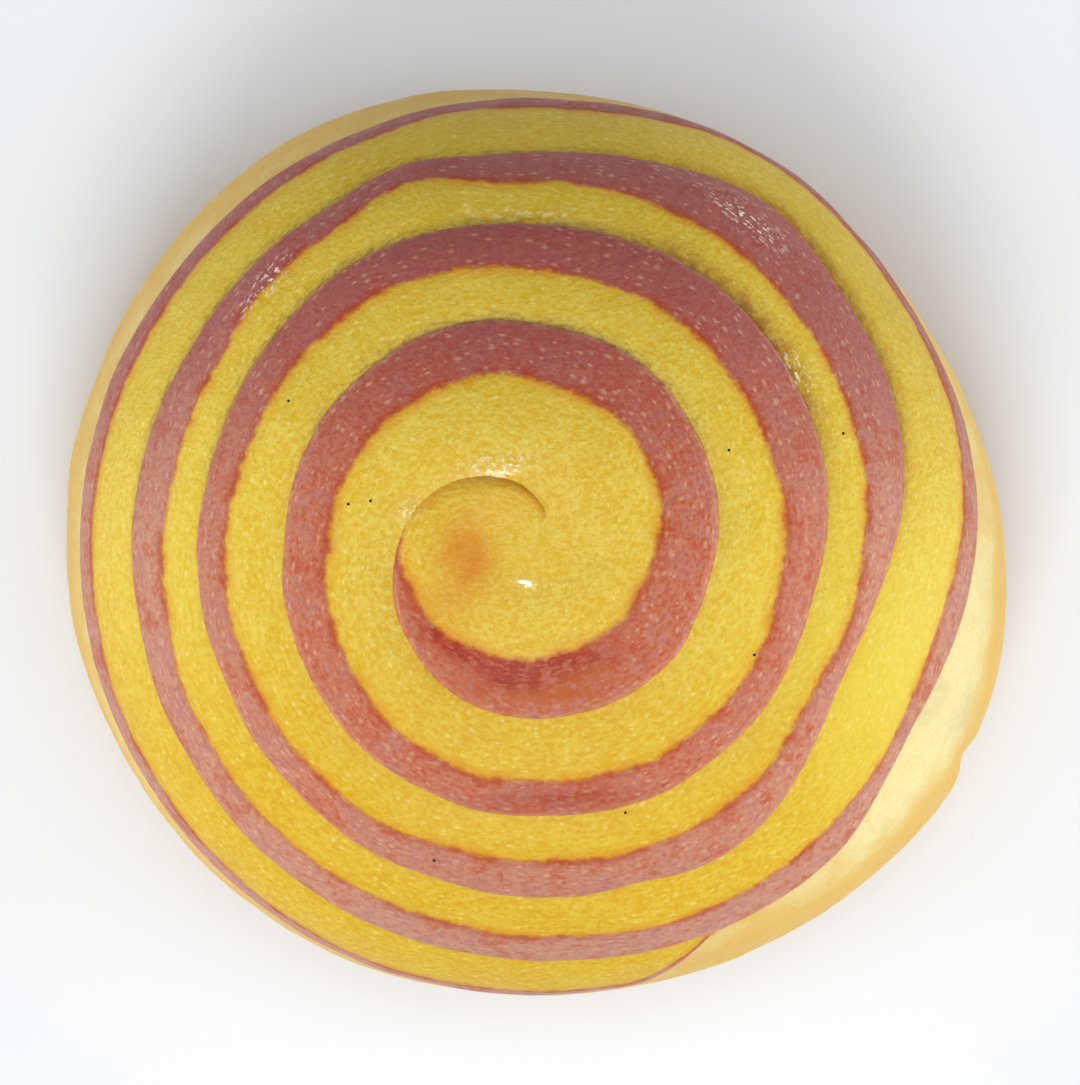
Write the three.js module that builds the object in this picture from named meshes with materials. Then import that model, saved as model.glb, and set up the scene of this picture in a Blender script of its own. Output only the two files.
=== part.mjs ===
import * as THREE from "three";
import { mergeVertices } from "three/addons/utils/BufferGeometryUtils.js";

// A round brioche bun with a high dome. A strip of yellow dough with a pink edge is wound
// round it from the crown, and each turn laps down onto the next one like tiles on a roof.
// Under the strip lies the plain dough that the bun stands on.
//
// Millimetres and degrees. +Z is up, the flat base lies on z = 0, and +X and +Y are to the
// right and up as the bun is seen from above. A place on the dome is given by its turn
// angle, anticlockwise round the crown from +X, and its dome angle, down from the crown.

// ---- The whole bun -----------------------------------------------------------------------
const BELLY_LEVEL = 14; // height of the widest level above the base
const CROWN_RISE = 38; // from the widest level up to the crown
const BELLY_DROP = 25; // half height of the curve below it, which the base cuts off flat
const OUTLINE_RADII = [46.8, 44.5, 44.7, 45, 47, 47, 47, 46.5, 46, 45.4, 46.3, 48.3];
const HEART = new THREE.Vector3(0, 0, 8); // the point inside that the strip's cut faces meet in
const STRIP_DEPTH = 0.7; // how deep the strip goes, as a share of the way to the heart
const CORE_DEPTH = 0.72; // where the plain core starts under it

// ---- The wound strip ---------------------------------------------------------------------
// Stations an eighth of a turn apart, from the crown to the strip's tip, one turn to a line.
// The crease is the outer border of a turn: the pink edge ends there, and the yellow of the
// next turn comes out from under it.
const STRIP_START = 27;
const STATION = 45;
const CROWN_CUT = 45; // turn angle where the crease first leaves the crown
const CREASE_DOME_ANGLES = [
  0, 3.5, 8, 14, 18.5, 21.5, 21.5, 20.5,
  24, 26.5, 28.5, 30, 32.5, 35, 35.5, 34,
  40.5, 42.5, 42.5, 43, 45, 48, 50, 43,
  57.5, 59, 54, 55.5, 58.5, 63, 65.5, 61,
  78, 84, 69, 71.5, 75.5, 80, 80,
];
const PINK_WIDTHS = [
  0, 0, 0, 0, 3, 7, 8, 7.5,
  7.5, 8, 7.5, 6.5, 6, 5.5, 5.5, 5,
  8.5, 8.5, 7, 5.5, 5, 6.5, 8, 3.5,
  11, 9.5, 5.5, 7.5, 7, 8, 8, 6.5,
  7, 8, 5.5, 7, 7, 6.5, 5.5,
];
const PINK_START = 175; // turn angle where the pink edge begins, with no width
const PINK_RAMP = 25;
const STRIP_END = STRIP_START + STATION * (CREASE_DOME_ANGLES.length - 1);
const TIP_TAPER = 16; // the strip runs out to nothing over this turn angle
const TIP_CUT = 5; // its blunt tip ends this far before the point of the taper
// Places where the dough slipped as it was wound: the turn angle and the spread of each, how
// far the crease steps out there, and how much wider the pink edge is.
const SLIPS = [
  { turn: 1007, spread: 8, shift: -1.5, widening: -1.5 },
  { turn: 1048, spread: 14, shift: -1.5, widening: 0 },
  { turn: 1135, spread: 13, shift: 4, widening: 4 },
  { turn: 1190, spread: 8, shift: 2, widening: -0.5 },
  { turn: 1411, spread: 12, shift: -3, widening: -3 },
  { turn: 1520, spread: 14, shift: -5, widening: 0 },
];

// ---- Relief ------------------------------------------------------------------------------
const SWELL = 0.5; // how far the middle of a turn stands proud
const SWELL_LEAN = 1.3; // above 1, the highest line lies nearer to the outer border
const CREASE_DEPTH = 0.8;
const LAP_LENGTH = 0.9; // the outer border rounds down into the crease over this length
const SLOPE_LENGTH = 2.5; // and the next turn rises out of it over this one
const FULL_BAND_WIDTH = 8; // a narrower band has less relief
const DOME_ARC = 0.75; // length along the dome for each degree of dome angle
const CREASE_FADE_IN = { from: 60, to: 150 }; // the crease deepens as it leaves the crown
// A short fold in the side of the plain dough, which starts this far down the dome.
const NOTCH = { azimuth: 333, spread: 4, depth: 0.9, from: 70 };

// ---- Division into faces -----------------------------------------------------------------
const TURN_STEP = 6; // round the bun
const YELLOW_STEPS = 6; // across the yellow of one turn
const PINK_STEPS = 4; // across its pink edge
const SKIRT_STEPS = 8; // up the plain dough's side
const CORE_STEPS = 3; // over its core, from the rim to the middle
const GAP = 0.3; // between two doughs
const DEEP_GAP_FACTOR = 2; // the gap's angle grows inwards, so that it stays open there
const CROWN_GAP_SHARE = 0.4; // the most of a crease's dome angle that half a gap takes
const PINK_LEAST_WIDTH = 2; // a thinner start of the pink edge is left out, in degrees
const SAME_POINT = 1e-4;
const FULL_TURN = 360;
const HALF_TURN = 180;
const BELLY_DOME_ANGLE = 90; // the widest level

const toRadians = THREE.MathUtils.degToRad;
const BASE_DOME_ANGLE = THREE.MathUtils.radToDeg(Math.acos(-BELLY_LEVEL / BELLY_DROP));

/** A smooth curve through values that stand one unit apart, read at a position. */
function smoothRow(values, position, isClosed) {
  const count = values.length;
  const wrap = (index) => ((index % count) + count) % count;
  const clamp = (index) => THREE.MathUtils.clamp(index, 0, count - 1);
  const valueAt = (index) => values[isClosed ? wrap(index) : clamp(index)];
  const start = isClosed ? Math.floor(position) : Math.min(Math.floor(position), count - 2);
  const before = valueAt(start - 1);
  const from = valueAt(start);
  const to = valueAt(start + 1);
  const after = valueAt(start + 2);
  const part = position - start;
  const bend = 2 * before - 5 * from + 4 * to - after;
  const twist = 3 * (from - to) + after - before;
  return from + 0.5 * part * (to - before + part * (bend + part * twist));
}

/** The height of a smooth bump: 1 in its middle, falling away on both sides. */
function bump(distance, spread) {
  return Math.exp(-((distance / spread) ** 2));
}

/** The radius at the widest level, or what it would be there for a place higher up. */
function outlineRadius(azimuth, domeAngle) {
  const hour = (azimuth / FULL_TURN) * OUTLINE_RADII.length;
  const ahead = THREE.MathUtils.euclideanModulo(azimuth - NOTCH.azimuth + HALF_TURN, FULL_TURN);
  const share = THREE.MathUtils.smoothstep(domeAngle, NOTCH.from, BELLY_DOME_ANGLE);
  const notch = NOTCH.depth * share * bump(ahead - HALF_TURN, NOTCH.spread);
  return smoothRow(OUTLINE_RADII, hour, true) - notch;
}

/** A value of the strip at a turn angle: a smooth row, and what the slips add to it. */
function alongStrip(stations, turn, slipAmount) {
  const station = smoothRow(stations, (turn - STRIP_START) / STATION, false);
  return SLIPS.reduce((sum, slip) => {
    return sum + slipAmount(slip) * bump(turn - slip.turn, slip.spread);
  }, station);
}

/** The share of its full width that the strip has, which falls to nothing at its tip. */
function tipShare(turn) {
  return THREE.MathUtils.smoothstep(STRIP_END - turn, 0, TIP_TAPER);
}

/** The dome angle of the crease that ends the strip at a turn angle. */
function creaseAngle(turn) {
  if (turn < CROWN_CUT) return 0;
  const full = alongStrip(CREASE_DOME_ANGLES, turn, (slip) => slip.shift);
  const share = tipShare(turn);
  return share < 1 ? THREE.MathUtils.lerp(creaseAngle(turn - FULL_TURN), full, share) : full;
}

/** The width of the pink edge at a turn angle, in degrees of dome angle. */
function pinkWidth(turn) {
  const full = alongStrip(PINK_WIDTHS, turn, (slip) => slip.widening);
  const ramp = THREE.MathUtils.clamp((turn - PINK_START) / PINK_RAMP, 0, 1);
  return Math.max(0, full) * ramp * tipShare(turn);
}

/** How deep the crease at a turn angle lies under the smooth dome. */
function creaseDepth(turn) {
  return CREASE_DEPTH * THREE.MathUtils.smoothstep(turn, CREASE_FADE_IN.from, CREASE_FADE_IN.to);
}

/** How far the strip stands proud of the smooth dome at a place on one of its turns. */
function stripRelief(turn, domeAngle) {
  const inner = creaseAngle(turn - FULL_TURN);
  const outer = creaseAngle(turn);
  const width = outer - inner;
  const across = THREE.MathUtils.clamp((domeAngle - inner) / width, 0, 1);
  const swell = SWELL * Math.min(1, (width * DOME_ARC) / FULL_BAND_WIDTH);
  const fromInner = across * width * DOME_ARC;
  const toOuter = (1 - across) * width * DOME_ARC;
  const rise = creaseDepth(turn - FULL_TURN) * Math.exp(-fromInner / SLOPE_LENGTH);
  const lap = creaseDepth(turn) * across * Math.exp(-toOuter / LAP_LENGTH);
  return swell * Math.sin(Math.PI * across ** SWELL_LEAN) - rise - lap;
}

/** How far the plain dough stands proud, which only sinks towards the last crease. */
function skirtRelief(turn, domeAngle) {
  const distance = (domeAngle - creaseAngle(turn)) * DOME_ARC;
  return -creaseDepth(turn) * Math.exp(-Math.max(0, distance) / SLOPE_LENGTH);
}

/** A point of the dome or the belly, moved out of the smooth form by a relief. */
function domePoint(azimuth, domeAngle, relief) {
  const radius = outlineRadius(azimuth, domeAngle);
  const halfHeight = domeAngle <= BELLY_DOME_ANGLE ? CROWN_RISE : BELLY_DROP;
  const sine = Math.sin(toRadians(domeAngle));
  const cosine = Math.cos(toRadians(domeAngle));
  const outward = new THREE.Vector2(halfHeight * sine, radius * cosine).normalize();
  const reach = radius * sine + relief * outward.x;
  const height = BELLY_LEVEL + halfHeight * cosine + relief * outward.y;
  const heading = toRadians(azimuth);
  return new THREE.Vector3(reach * Math.cos(heading), reach * Math.sin(heading), height);
}

/** The angle that half a gap takes up beside a crease, which closes up at the crown. */
function halfGap(turn) {
  const wide = (0.5 * GAP) / DOME_ARC;
  return Math.min(wide, CROWN_GAP_SHARE * creaseAngle(turn));
}

/**
 * The closed outline of a cut straight through one band of the strip: across its surface
 * from the inner to the outer border, down the outer face, and back up the inner one.
 */
function bandSection(turn, inner, outer, steps) {
  const points = [];
  const low = inner.angle + inner.gap;
  const high = outer.angle - outer.gap;
  for (let step = 0; step <= steps; step += 1) {
    const domeAngle = THREE.MathUtils.lerp(low, high, step / steps);
    points.push(domePoint(turn, domeAngle, stripRelief(turn, domeAngle)));
  }
  const deepOuter = outer.angle - outer.gap * DEEP_GAP_FACTOR;
  const deepInner = inner.angle + inner.gap * DEEP_GAP_FACTOR;
  for (const domeAngle of [deepOuter, deepInner]) {
    points.push(domePoint(turn, domeAngle, 0).lerp(HEART, STRIP_DEPTH));
  }
  return points;
}

/** The cut through the yellow band of a turn. */
function yellowSection(turn) {
  const inner = { angle: creaseAngle(turn - FULL_TURN), gap: halfGap(turn - FULL_TURN) };
  const outer = { angle: creaseAngle(turn) - pinkWidth(turn), gap: halfGap(turn) };
  return bandSection(turn, inner, outer, YELLOW_STEPS);
}

/** The cut through the pink band of a turn. */
function pinkSection(turn) {
  const inner = { angle: creaseAngle(turn) - pinkWidth(turn), gap: halfGap(turn) };
  const outer = { angle: creaseAngle(turn), gap: halfGap(turn) };
  return bandSection(turn, inner, outer, PINK_STEPS);
}

/**
 * The cut through the plain dough at a turn angle of the last crease: out along the base,
 * up the side to the crease, in along the strip's outer face, and over the core.
 */
function plainSection(turn) {
  const rim = creaseAngle(turn) + halfGap(turn);
  const deepRim = creaseAngle(turn) + halfGap(turn) * DEEP_GAP_FACTOR;
  const points = [new THREE.Vector3(0, 0, 0)];
  for (let step = 0; step <= SKIRT_STEPS; step += 1) {
    const domeAngle = THREE.MathUtils.lerp(BASE_DOME_ANGLE, rim, step / SKIRT_STEPS);
    points.push(domePoint(turn, domeAngle, skirtRelief(turn, domeAngle)));
  }
  points[1].z = 0;
  for (let step = 0; step <= CORE_STEPS; step += 1) {
    const domeAngle = deepRim * (1 - step / CORE_STEPS);
    points.push(domePoint(turn, domeAngle, 0).lerp(HEART, CORE_DEPTH));
  }
  return points;
}

/** The turn angles from one to another, a step apart, with both ends. */
function turnsBetween(from, to) {
  const turns = [];
  for (let turn = from; turn < to; turn += TURN_STEP) turns.push(turn);
  turns.push(to);
  return turns;
}

/** One closed surface from points and triangles, with alike points joined. */
function closedGeometry(points, triangles) {
  const loose = new THREE.BufferGeometry().setFromPoints(points);
  loose.setIndex(triangles.flat());
  const joined = mergeVertices(loose, SAME_POINT);
  const corners = joined.getIndex().array;
  const kept = [];
  for (let first = 0; first < corners.length; first += 3) {
    const [a, b, c] = corners.slice(first, first + 3);
    if (a !== b && b !== c && c !== a) kept.push(a, b, c);
  }
  joined.setIndex(kept);
  joined.computeVertexNormals();
  return joined;
}

/** The two triangles between two neighbouring points of two neighbouring sections. */
function quad(a, b, c, d) {
  return [
    [a, b, c],
    [a, c, d],
  ];
}

/** The solid that closed sections sweep, with a flat cut at each end. */
function sweptBand(sections) {
  const size = sections[0].length;
  const triangles = [];
  for (let row = 0; row + 1 < sections.length; row += 1) {
    for (let column = 0; column < size; column += 1) {
      const near = row * size;
      const next = (column + 1) % size;
      triangles.push(...quad(near + column, near + next, near + size + next, near + size + column));
    }
  }
  const last = (sections.length - 1) * size;
  for (let column = 0; column + 2 < size; column += 1) {
    triangles.push([size - 1, column + 1, column]);
    triangles.push([last + size - 1, last + column, last + column + 1]);
  }
  return closedGeometry(sections.flat(), triangles);
}

/** The solid that open sections sweep all the way round, each from pole to pole. */
function sweptRound(sections) {
  const size = sections[0].length;
  const triangles = [];
  for (let row = 0; row < sections.length; row += 1) {
    const near = row * size;
    const far = ((row + 1) % sections.length) * size;
    for (let column = 0; column + 1 < size; column += 1) {
      triangles.push(...quad(near + column, far + column, far + column + 1, near + column + 1));
    }
  }
  return closedGeometry(sections.flat(), triangles);
}

/** A named piece of dough with its own colour and gloss. */
function doughPiece(name, geometry, colour, roughness) {
  const material = new THREE.MeshStandardMaterial({ color: colour, roughness, metalness: 0 });
  const piece = new THREE.Mesh(geometry, material);
  piece.name = name;
  return piece;
}

/** The yellow band, which starts at the crown. */
function yellowDough() {
  const turns = turnsBetween(CROWN_CUT, STRIP_END - TIP_CUT);
  return doughPiece("yellow_dough", sweptBand(turns.map(yellowSection)), 0xe0bb35, 0.45);
}

/** The pink band, which starts where it is wide enough to hold together. */
function pinkDough() {
  const turns = turnsBetween(CROWN_CUT, STRIP_END - TIP_CUT);
  const wideEnough = (turn) => turn > STRIP_END - FULL_TURN || pinkWidth(turn) > PINK_LEAST_WIDTH;
  const sections = turns.filter(wideEnough).map(pinkSection);
  return doughPiece("pink_dough", sweptBand(sections), 0xbd7f78, 0.5);
}

/** The plain dough under the strip, whose rim follows the last crease. */
function plainDough() {
  const turns = turnsBetween(STRIP_END - FULL_TURN, STRIP_END).slice(0, -1);
  return doughPiece("plain_dough", sweptRound(turns.map(plainSection)), 0xe8c887, 0.5);
}

const bun = new THREE.Group();
bun.name = "brioche";
bun.add(plainDough(), yellowDough(), pinkDough());

// The origin is the middle of the bun's box, at the level of the base.
const box = new THREE.Box3().setFromObject(bun);
const middle = box.getCenter(new THREE.Vector3());
bun.position.set(-middle.x, -middle.y, 0);

export default bun;
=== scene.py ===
"""A spiral brioche bun: yellow dough with a pink edge, wound over plain dough.

The bun keeps the form of its CAD model. Its lengths are in millimetres and its angles in
degrees; the meshes are written in metres at the end. The studio is set out in metres. A
place on the dome is given by its turn angle, anticlockwise round the crown from +X, and
its dome angle, down from the crown.
"""
import logging
import math
from dataclasses import dataclass, field
from enum import Enum

import bmesh
import bpy
import numpy as np
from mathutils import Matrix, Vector


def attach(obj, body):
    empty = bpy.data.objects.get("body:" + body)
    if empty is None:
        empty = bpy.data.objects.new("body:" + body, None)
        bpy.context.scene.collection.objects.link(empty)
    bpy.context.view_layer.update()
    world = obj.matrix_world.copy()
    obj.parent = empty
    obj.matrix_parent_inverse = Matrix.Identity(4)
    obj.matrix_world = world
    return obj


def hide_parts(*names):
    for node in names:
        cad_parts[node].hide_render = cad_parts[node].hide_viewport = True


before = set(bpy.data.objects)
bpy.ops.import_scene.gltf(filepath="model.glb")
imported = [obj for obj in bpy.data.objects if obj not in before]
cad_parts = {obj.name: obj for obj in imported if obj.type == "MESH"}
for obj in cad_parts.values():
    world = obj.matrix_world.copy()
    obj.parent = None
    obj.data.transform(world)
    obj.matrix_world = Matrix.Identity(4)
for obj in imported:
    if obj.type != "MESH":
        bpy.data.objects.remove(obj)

LOG = logging.getLogger("brioche")
MM = 0.001
FULL_TURN = 360.0
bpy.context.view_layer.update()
STRIP_MAP = "strip"  # the UV map: mm along the strip, and mm across it
WIDEST = 90.0  # the dome angle of the widest level
LEAST_WIDTH = 1e-6  # keeps a width that is divided by above nothing
LUMP_SEED, FIBRE_SEED, WRINKLE_SEED = 11, 23, 41

Colour = tuple[float, float, float, float]
Ramp = tuple[float, float, float, float]  # from low and high, to low and high


class Dough(Enum):
    """The three doughs, each with its node in the CAD model and its material."""

    PLAIN = "plain_dough"
    YELLOW = "yellow_dough"
    PINK = "pink_dough"


class Field(Enum):
    """The values that each point of a dough surface carries for its material."""

    FROM_BORDER = "from_border"  # mm out from the line where the yellow meets the pink
    FROM_CREASE = "from_crease"  # mm out from the crease on the inner side
    TO_CREASE = "to_crease"  # mm in from the crease on the outer side
    TURNS = "turns"  # how many times the strip has gone round the crown
    CROWN = "crown"  # 1 on the crown, 0 past the first turn
    FAR_SIDE = "far_side"  # 1 on the +Y side, where painted shade darkens the doughs
    LOW = "low"  # 0 at the widest level, 1 at the base
    ORANGE = "orange"  # where it is stained orange
    SCORCH = "scorch"  # where the pink is burnt dark red
    GREY = "grey"  # where it is smudged grey
    PEEL = "peel"  # where the pink's lip has come away from the turn below
    PAINTED_GLINTS = "flecks"  # where near-white flecks are painted as glints, with bumps under them
    LEMON = "lemon"  # where the yellow is lighter, and the plain dough is pale cream
    WET = "wet"  # where the glaze is thick and clear


# ---- Curves and noise --------------------------------------------------------------------


def smooth_row(values: tuple[float, ...], position: np.ndarray, closed: bool) -> np.ndarray:
    """Reads a smooth curve through values that stand one unit apart.

    Args:
        values: The values at positions 0, 1, 2 and so on.
        position: Where to read the curve.
        closed: Whether the last value leads back to the first.

    Returns:
        The curve's value at each position.
    """
    row = np.asarray(values, dtype=float)
    count = len(row)
    start = np.floor(position).astype(int)
    if not closed:
        start = np.clip(start, 0, count - 2)
    part = position - start

    def value_at(index: np.ndarray) -> np.ndarray:
        """The value at an index, wrapped round or held at the ends."""
        return row[index % count] if closed else row[np.clip(index, 0, count - 1)]

    before, here, there, after = (value_at(start + step) for step in (-1, 0, 1, 2))
    bend = 2 * before - 5 * here + 4 * there - after
    twist = 3 * (here - there) + after - before
    return here + 0.5 * part * (there - before + part * (bend + part * twist))


def ease(value: np.ndarray, low: float, high: float) -> np.ndarray:
    """Rises smoothly from 0 at low to 1 at high."""
    part = np.clip((value - low) / (high - low), 0.0, 1.0)
    return part * part * (3.0 - 2.0 * part)


def bump(distance: np.ndarray, spread: float) -> np.ndarray:
    """A smooth bump: 1 in its middle, falling away on both sides."""
    return np.exp(-((distance / spread) ** 2))


class LatticeNoise:
    """Smooth random values over space, the same on every run."""

    SIDE = 32
    OCTAVES = 2
    OCTAVE_OFFSET = 7.3

    def __init__(self, seed: int) -> None:
        """Fills the lattice.

        Args:
            seed: The seed of the random draw.
        """
        draw = np.random.default_rng(seed)
        self.lattice = draw.uniform(-1.0, 1.0, (self.SIDE,) * 3)

    def single(self, points: np.ndarray) -> np.ndarray:
        """One octave of noise at an array of points, whose last axis is x, y, z."""
        cell = np.floor(points).astype(int)
        part = points - cell
        part = part * part * (3.0 - 2.0 * part)
        total = np.zeros(points.shape[:-1])
        for corner in np.ndindex(2, 2, 2):
            weight = np.ones(points.shape[:-1])
            for axis in range(3):
                share = part[..., axis]
                weight = weight * (share if corner[axis] else 1.0 - share)
            index = (cell + np.array(corner)) % self.SIDE
            total += weight * self.lattice[index[..., 0], index[..., 1], index[..., 2]]
        return total

    def layered(self, points: np.ndarray) -> np.ndarray:
        """Noise of two octaves, the second half as large and twice as fine."""
        total = np.zeros(points.shape[:-1])
        for octave in range(self.OCTAVES):
            offset = self.OCTAVE_OFFSET * octave
            total += 0.5**octave * self.single(points * 2.0**octave + offset)
        return total


# ---- The bun's form ----------------------------------------------------------------------


@dataclass(frozen=True)
class Slip:
    """A place where the dough slipped as it was wound."""

    turn: float
    spread: float
    shift: float
    widening: float


@dataclass(frozen=True)
class BunForm:
    """The measured form of the bun, with the same driving sizes as its CAD model."""

    belly_level: float = 14.0
    crown_rise: float = 38.0
    belly_drop: float = 25.0
    outline_radii: tuple[float, ...] = (
        46.8, 44.5, 44.7, 45, 47, 47, 47, 46.5, 46, 45.4, 46.3, 48.3,
    )
    heart_level: float = 8.0
    strip_depth: float = 0.7
    core_depth: float = 0.72
    notch_azimuth: float = 333.5
    notch_spread: float = 1.8
    notch_depth: float = 0.75
    notch_from: float = 70.0

    strip_start: float = 27.0
    station: float = 45.0
    crown_cut: float = 65.0
    crease_dome_angles: tuple[float, ...] = (
        0, 3.5, 8, 14, 18.5, 21.5, 21.5, 20.5,
        24, 26.5, 28.5, 30, 32.5, 35, 35.5, 34,
        40.5, 42.5, 42.5, 43, 45, 48, 50, 43,
        57.5, 59, 54, 55.5, 58.5, 63, 65.5, 61,
        78, 84, 69, 71.5, 75.5, 80, 80,
    )
    pink_widths: tuple[float, ...] = (
        0, 0, 0, 0, 3, 7, 8, 7.5,
        7.5, 8, 7.5, 6.5, 6, 5.5, 5.5, 5,
        8.5, 8.5, 7, 5.5, 5, 6.5, 8, 3.5,
        11, 9.5, 5.5, 7.5, 7, 8, 8, 6.5,
        7, 8, 5.5, 7, 7, 6.5, 5.5,
    )
    pink_start: float = 175.0
    pink_ramp: float = 25.0
    tip_taper: float = 16.0
    slips: tuple[Slip, ...] = (
        Slip(1007.0, 8.0, -1.5, -1.5),
        Slip(1048.0, 14.0, -1.5, 0.0),
        Slip(1135.0, 13.0, 4.0, 4.0),
        Slip(1190.0, 8.0, 2.0, -0.5),
        Slip(1411.0, 12.0, -3.0, -3.0),
        Slip(1520.0, 14.0, -5.0, 0.0),
    )
    dome_arc: float = 0.75

    @property
    def strip_end(self) -> float:
        """The turn angle of the strip's tip."""
        return self.strip_start + self.station * (len(self.crease_dome_angles) - 1)

    @property
    def base_dome_angle(self) -> float:
        """The dome angle of the foot, where the belly meets the flat base."""
        return math.degrees(math.acos(-self.belly_level / self.belly_drop))

    def outline_radius(self, azimuth: np.ndarray, angle: object = WIDEST) -> np.ndarray:
        """The radius of the widest level at an azimuth, for places at a dome angle."""
        hour = azimuth / FULL_TURN * len(self.outline_radii)
        ahead = (azimuth - self.notch_azimuth + FULL_TURN / 2) % FULL_TURN - FULL_TURN / 2
        share = ease(np.asarray(angle, dtype=float), self.notch_from, WIDEST)
        notch = self.notch_depth * share * bump(ahead, self.notch_spread)
        return smooth_row(self.outline_radii, hour, closed=True) - notch

    def axis_shift(self) -> np.ndarray:
        """How far the crown's axis stands off the origin, which is the middle of the box."""
        azimuth = np.arange(0.0, FULL_TURN)
        radius = self.outline_radius(azimuth)
        across = radius * np.cos(np.radians(azimuth))
        along = radius * np.sin(np.radians(azimuth))
        middle = [across.max() + across.min(), along.max() + along.min(), 0.0]
        return -0.5 * np.array(middle)

    def tip_share(self, turn: np.ndarray) -> np.ndarray:
        """The share of its full width that the strip has near its tip."""
        return ease(self.strip_end - turn, 0.0, self.tip_taper)

    def along_strip(self, stations: tuple[float, ...], turn: np.ndarray) -> np.ndarray:
        """Reads a smooth row of stations at turn angles."""
        position = np.maximum(turn - self.strip_start, 0.0) / self.station
        return smooth_row(stations, position, closed=False)

    def crease_angle(self, turn: np.ndarray) -> np.ndarray:
        """The dome angle of the crease that ends the strip at a turn angle."""
        held = np.maximum(turn, self.crown_cut)
        angle = self.along_strip(self.crease_dome_angles, held)
        for slip in self.slips:
            angle = angle + slip.shift * bump(held - slip.turn, slip.spread)
        share = self.tip_share(held)
        near_tip = share < 1.0
        if np.any(near_tip):
            inner = self.crease_angle(np.where(near_tip, held - FULL_TURN, self.crown_cut))
            angle = np.where(near_tip, inner + (angle - inner) * share, angle)
        return angle

    def pink_width(self, turn: np.ndarray) -> np.ndarray:
        """The width of the pink edge at a turn angle, in degrees of dome angle."""
        width = self.along_strip(self.pink_widths, turn)
        for slip in self.slips:
            width = width + slip.widening * bump(turn - slip.turn, slip.spread)
        ramp = np.clip((turn - self.pink_start) / self.pink_ramp, 0.0, 1.0)
        return np.maximum(width, 0.0) * ramp * self.tip_share(turn)

    def place(self, azimuth: np.ndarray, angle: np.ndarray, relief: np.ndarray) -> np.ndarray:
        """Points of the dome or the belly, moved out of the smooth form by a relief.

        Args:
            azimuth: The azimuths or turn angles.
            angle: The dome angles.
            relief: How far each point stands proud.

        Returns:
            The points, with x, y and z on the last axis.
        """
        radius = self.outline_radius(azimuth, angle)
        half_height = np.where(angle <= WIDEST, self.crown_rise, self.belly_drop)
        sine, cosine = np.sin(np.radians(angle)), np.cos(np.radians(angle))
        out, up = half_height * sine, radius * cosine
        length = np.hypot(out, up)
        reach = radius * sine + relief * out / length
        height = self.belly_level + half_height * cosine + relief * up / length
        heading = np.radians(azimuth)
        points = np.stack([reach * np.cos(heading), reach * np.sin(heading), height], axis=-1)
        return points + self.axis_shift()

    def sink(self, points: np.ndarray, share: float) -> np.ndarray:
        """Moves points a share of the way to the heart of the bun."""
        heart = self.axis_shift() + np.array([0.0, 0.0, self.heart_level])
        return points + share * (heart - points)


class StripLength:
    """The length along the strip from its start, worked out once for all turn angles."""

    STEP = 0.5
    LEAST_RADIUS = 6.0

    def __init__(self, form: BunForm) -> None:
        """Adds up the length along the strip's outer border."""
        self.turns = np.arange(form.crown_cut, form.strip_end + self.STEP, self.STEP)
        angle = np.radians(form.crease_angle(self.turns))
        radius = form.outline_radius(self.turns) * np.sin(angle)
        pace = np.maximum(radius, self.LEAST_RADIUS) * math.radians(self.STEP)
        self.lengths = np.concatenate([[0.0], np.cumsum(pace[:-1])])

    def at(self, turn: np.ndarray) -> np.ndarray:
        """The length at a turn angle."""
        return np.interp(turn, self.turns, self.lengths)

    def turn_at(self, length: np.ndarray) -> np.ndarray:
        """The turn angle at a length."""
        return np.interp(length, self.lengths, self.turns)


@dataclass(frozen=True)
class Wave:
    """A random wave along the strip: how long its bends are, and its row of the noise."""

    size: float
    row: float


@dataclass(frozen=True)
class CreaseSpot:
    """A stretch of crease that lies deeper or shallower than the rest."""

    turn: float
    spread: float
    deepening: float


@dataclass(frozen=True)
class Ridge:
    """A fold that stands up along the middle of the pink edge."""

    start: float
    end: float
    across: float
    spread: float
    height: float


@dataclass(frozen=True)
class Patch:
    """A soft oval patch of a stain, a glaze or painted glints, placed as it is seen from above
    the crown.
    """

    kind: Field
    place: tuple[float, float]
    reach: tuple[float, float]
    tilt: float
    strength: float = 1.0

    def at(self, points: np.ndarray, axis: np.ndarray) -> np.ndarray:
        """How strong the patch is at each point."""
        east = points[..., 0] - axis[0] - self.place[0]
        north = points[..., 1] - axis[1] - self.place[1]
        cosine, sine = math.cos(math.radians(self.tilt)), math.sin(math.radians(self.tilt))
        along = (east * cosine + north * sine) / self.reach[0]
        across = (north * cosine - east * sine) / self.reach[1]
        return self.strength * np.exp(-(along**2 + across**2))


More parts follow.
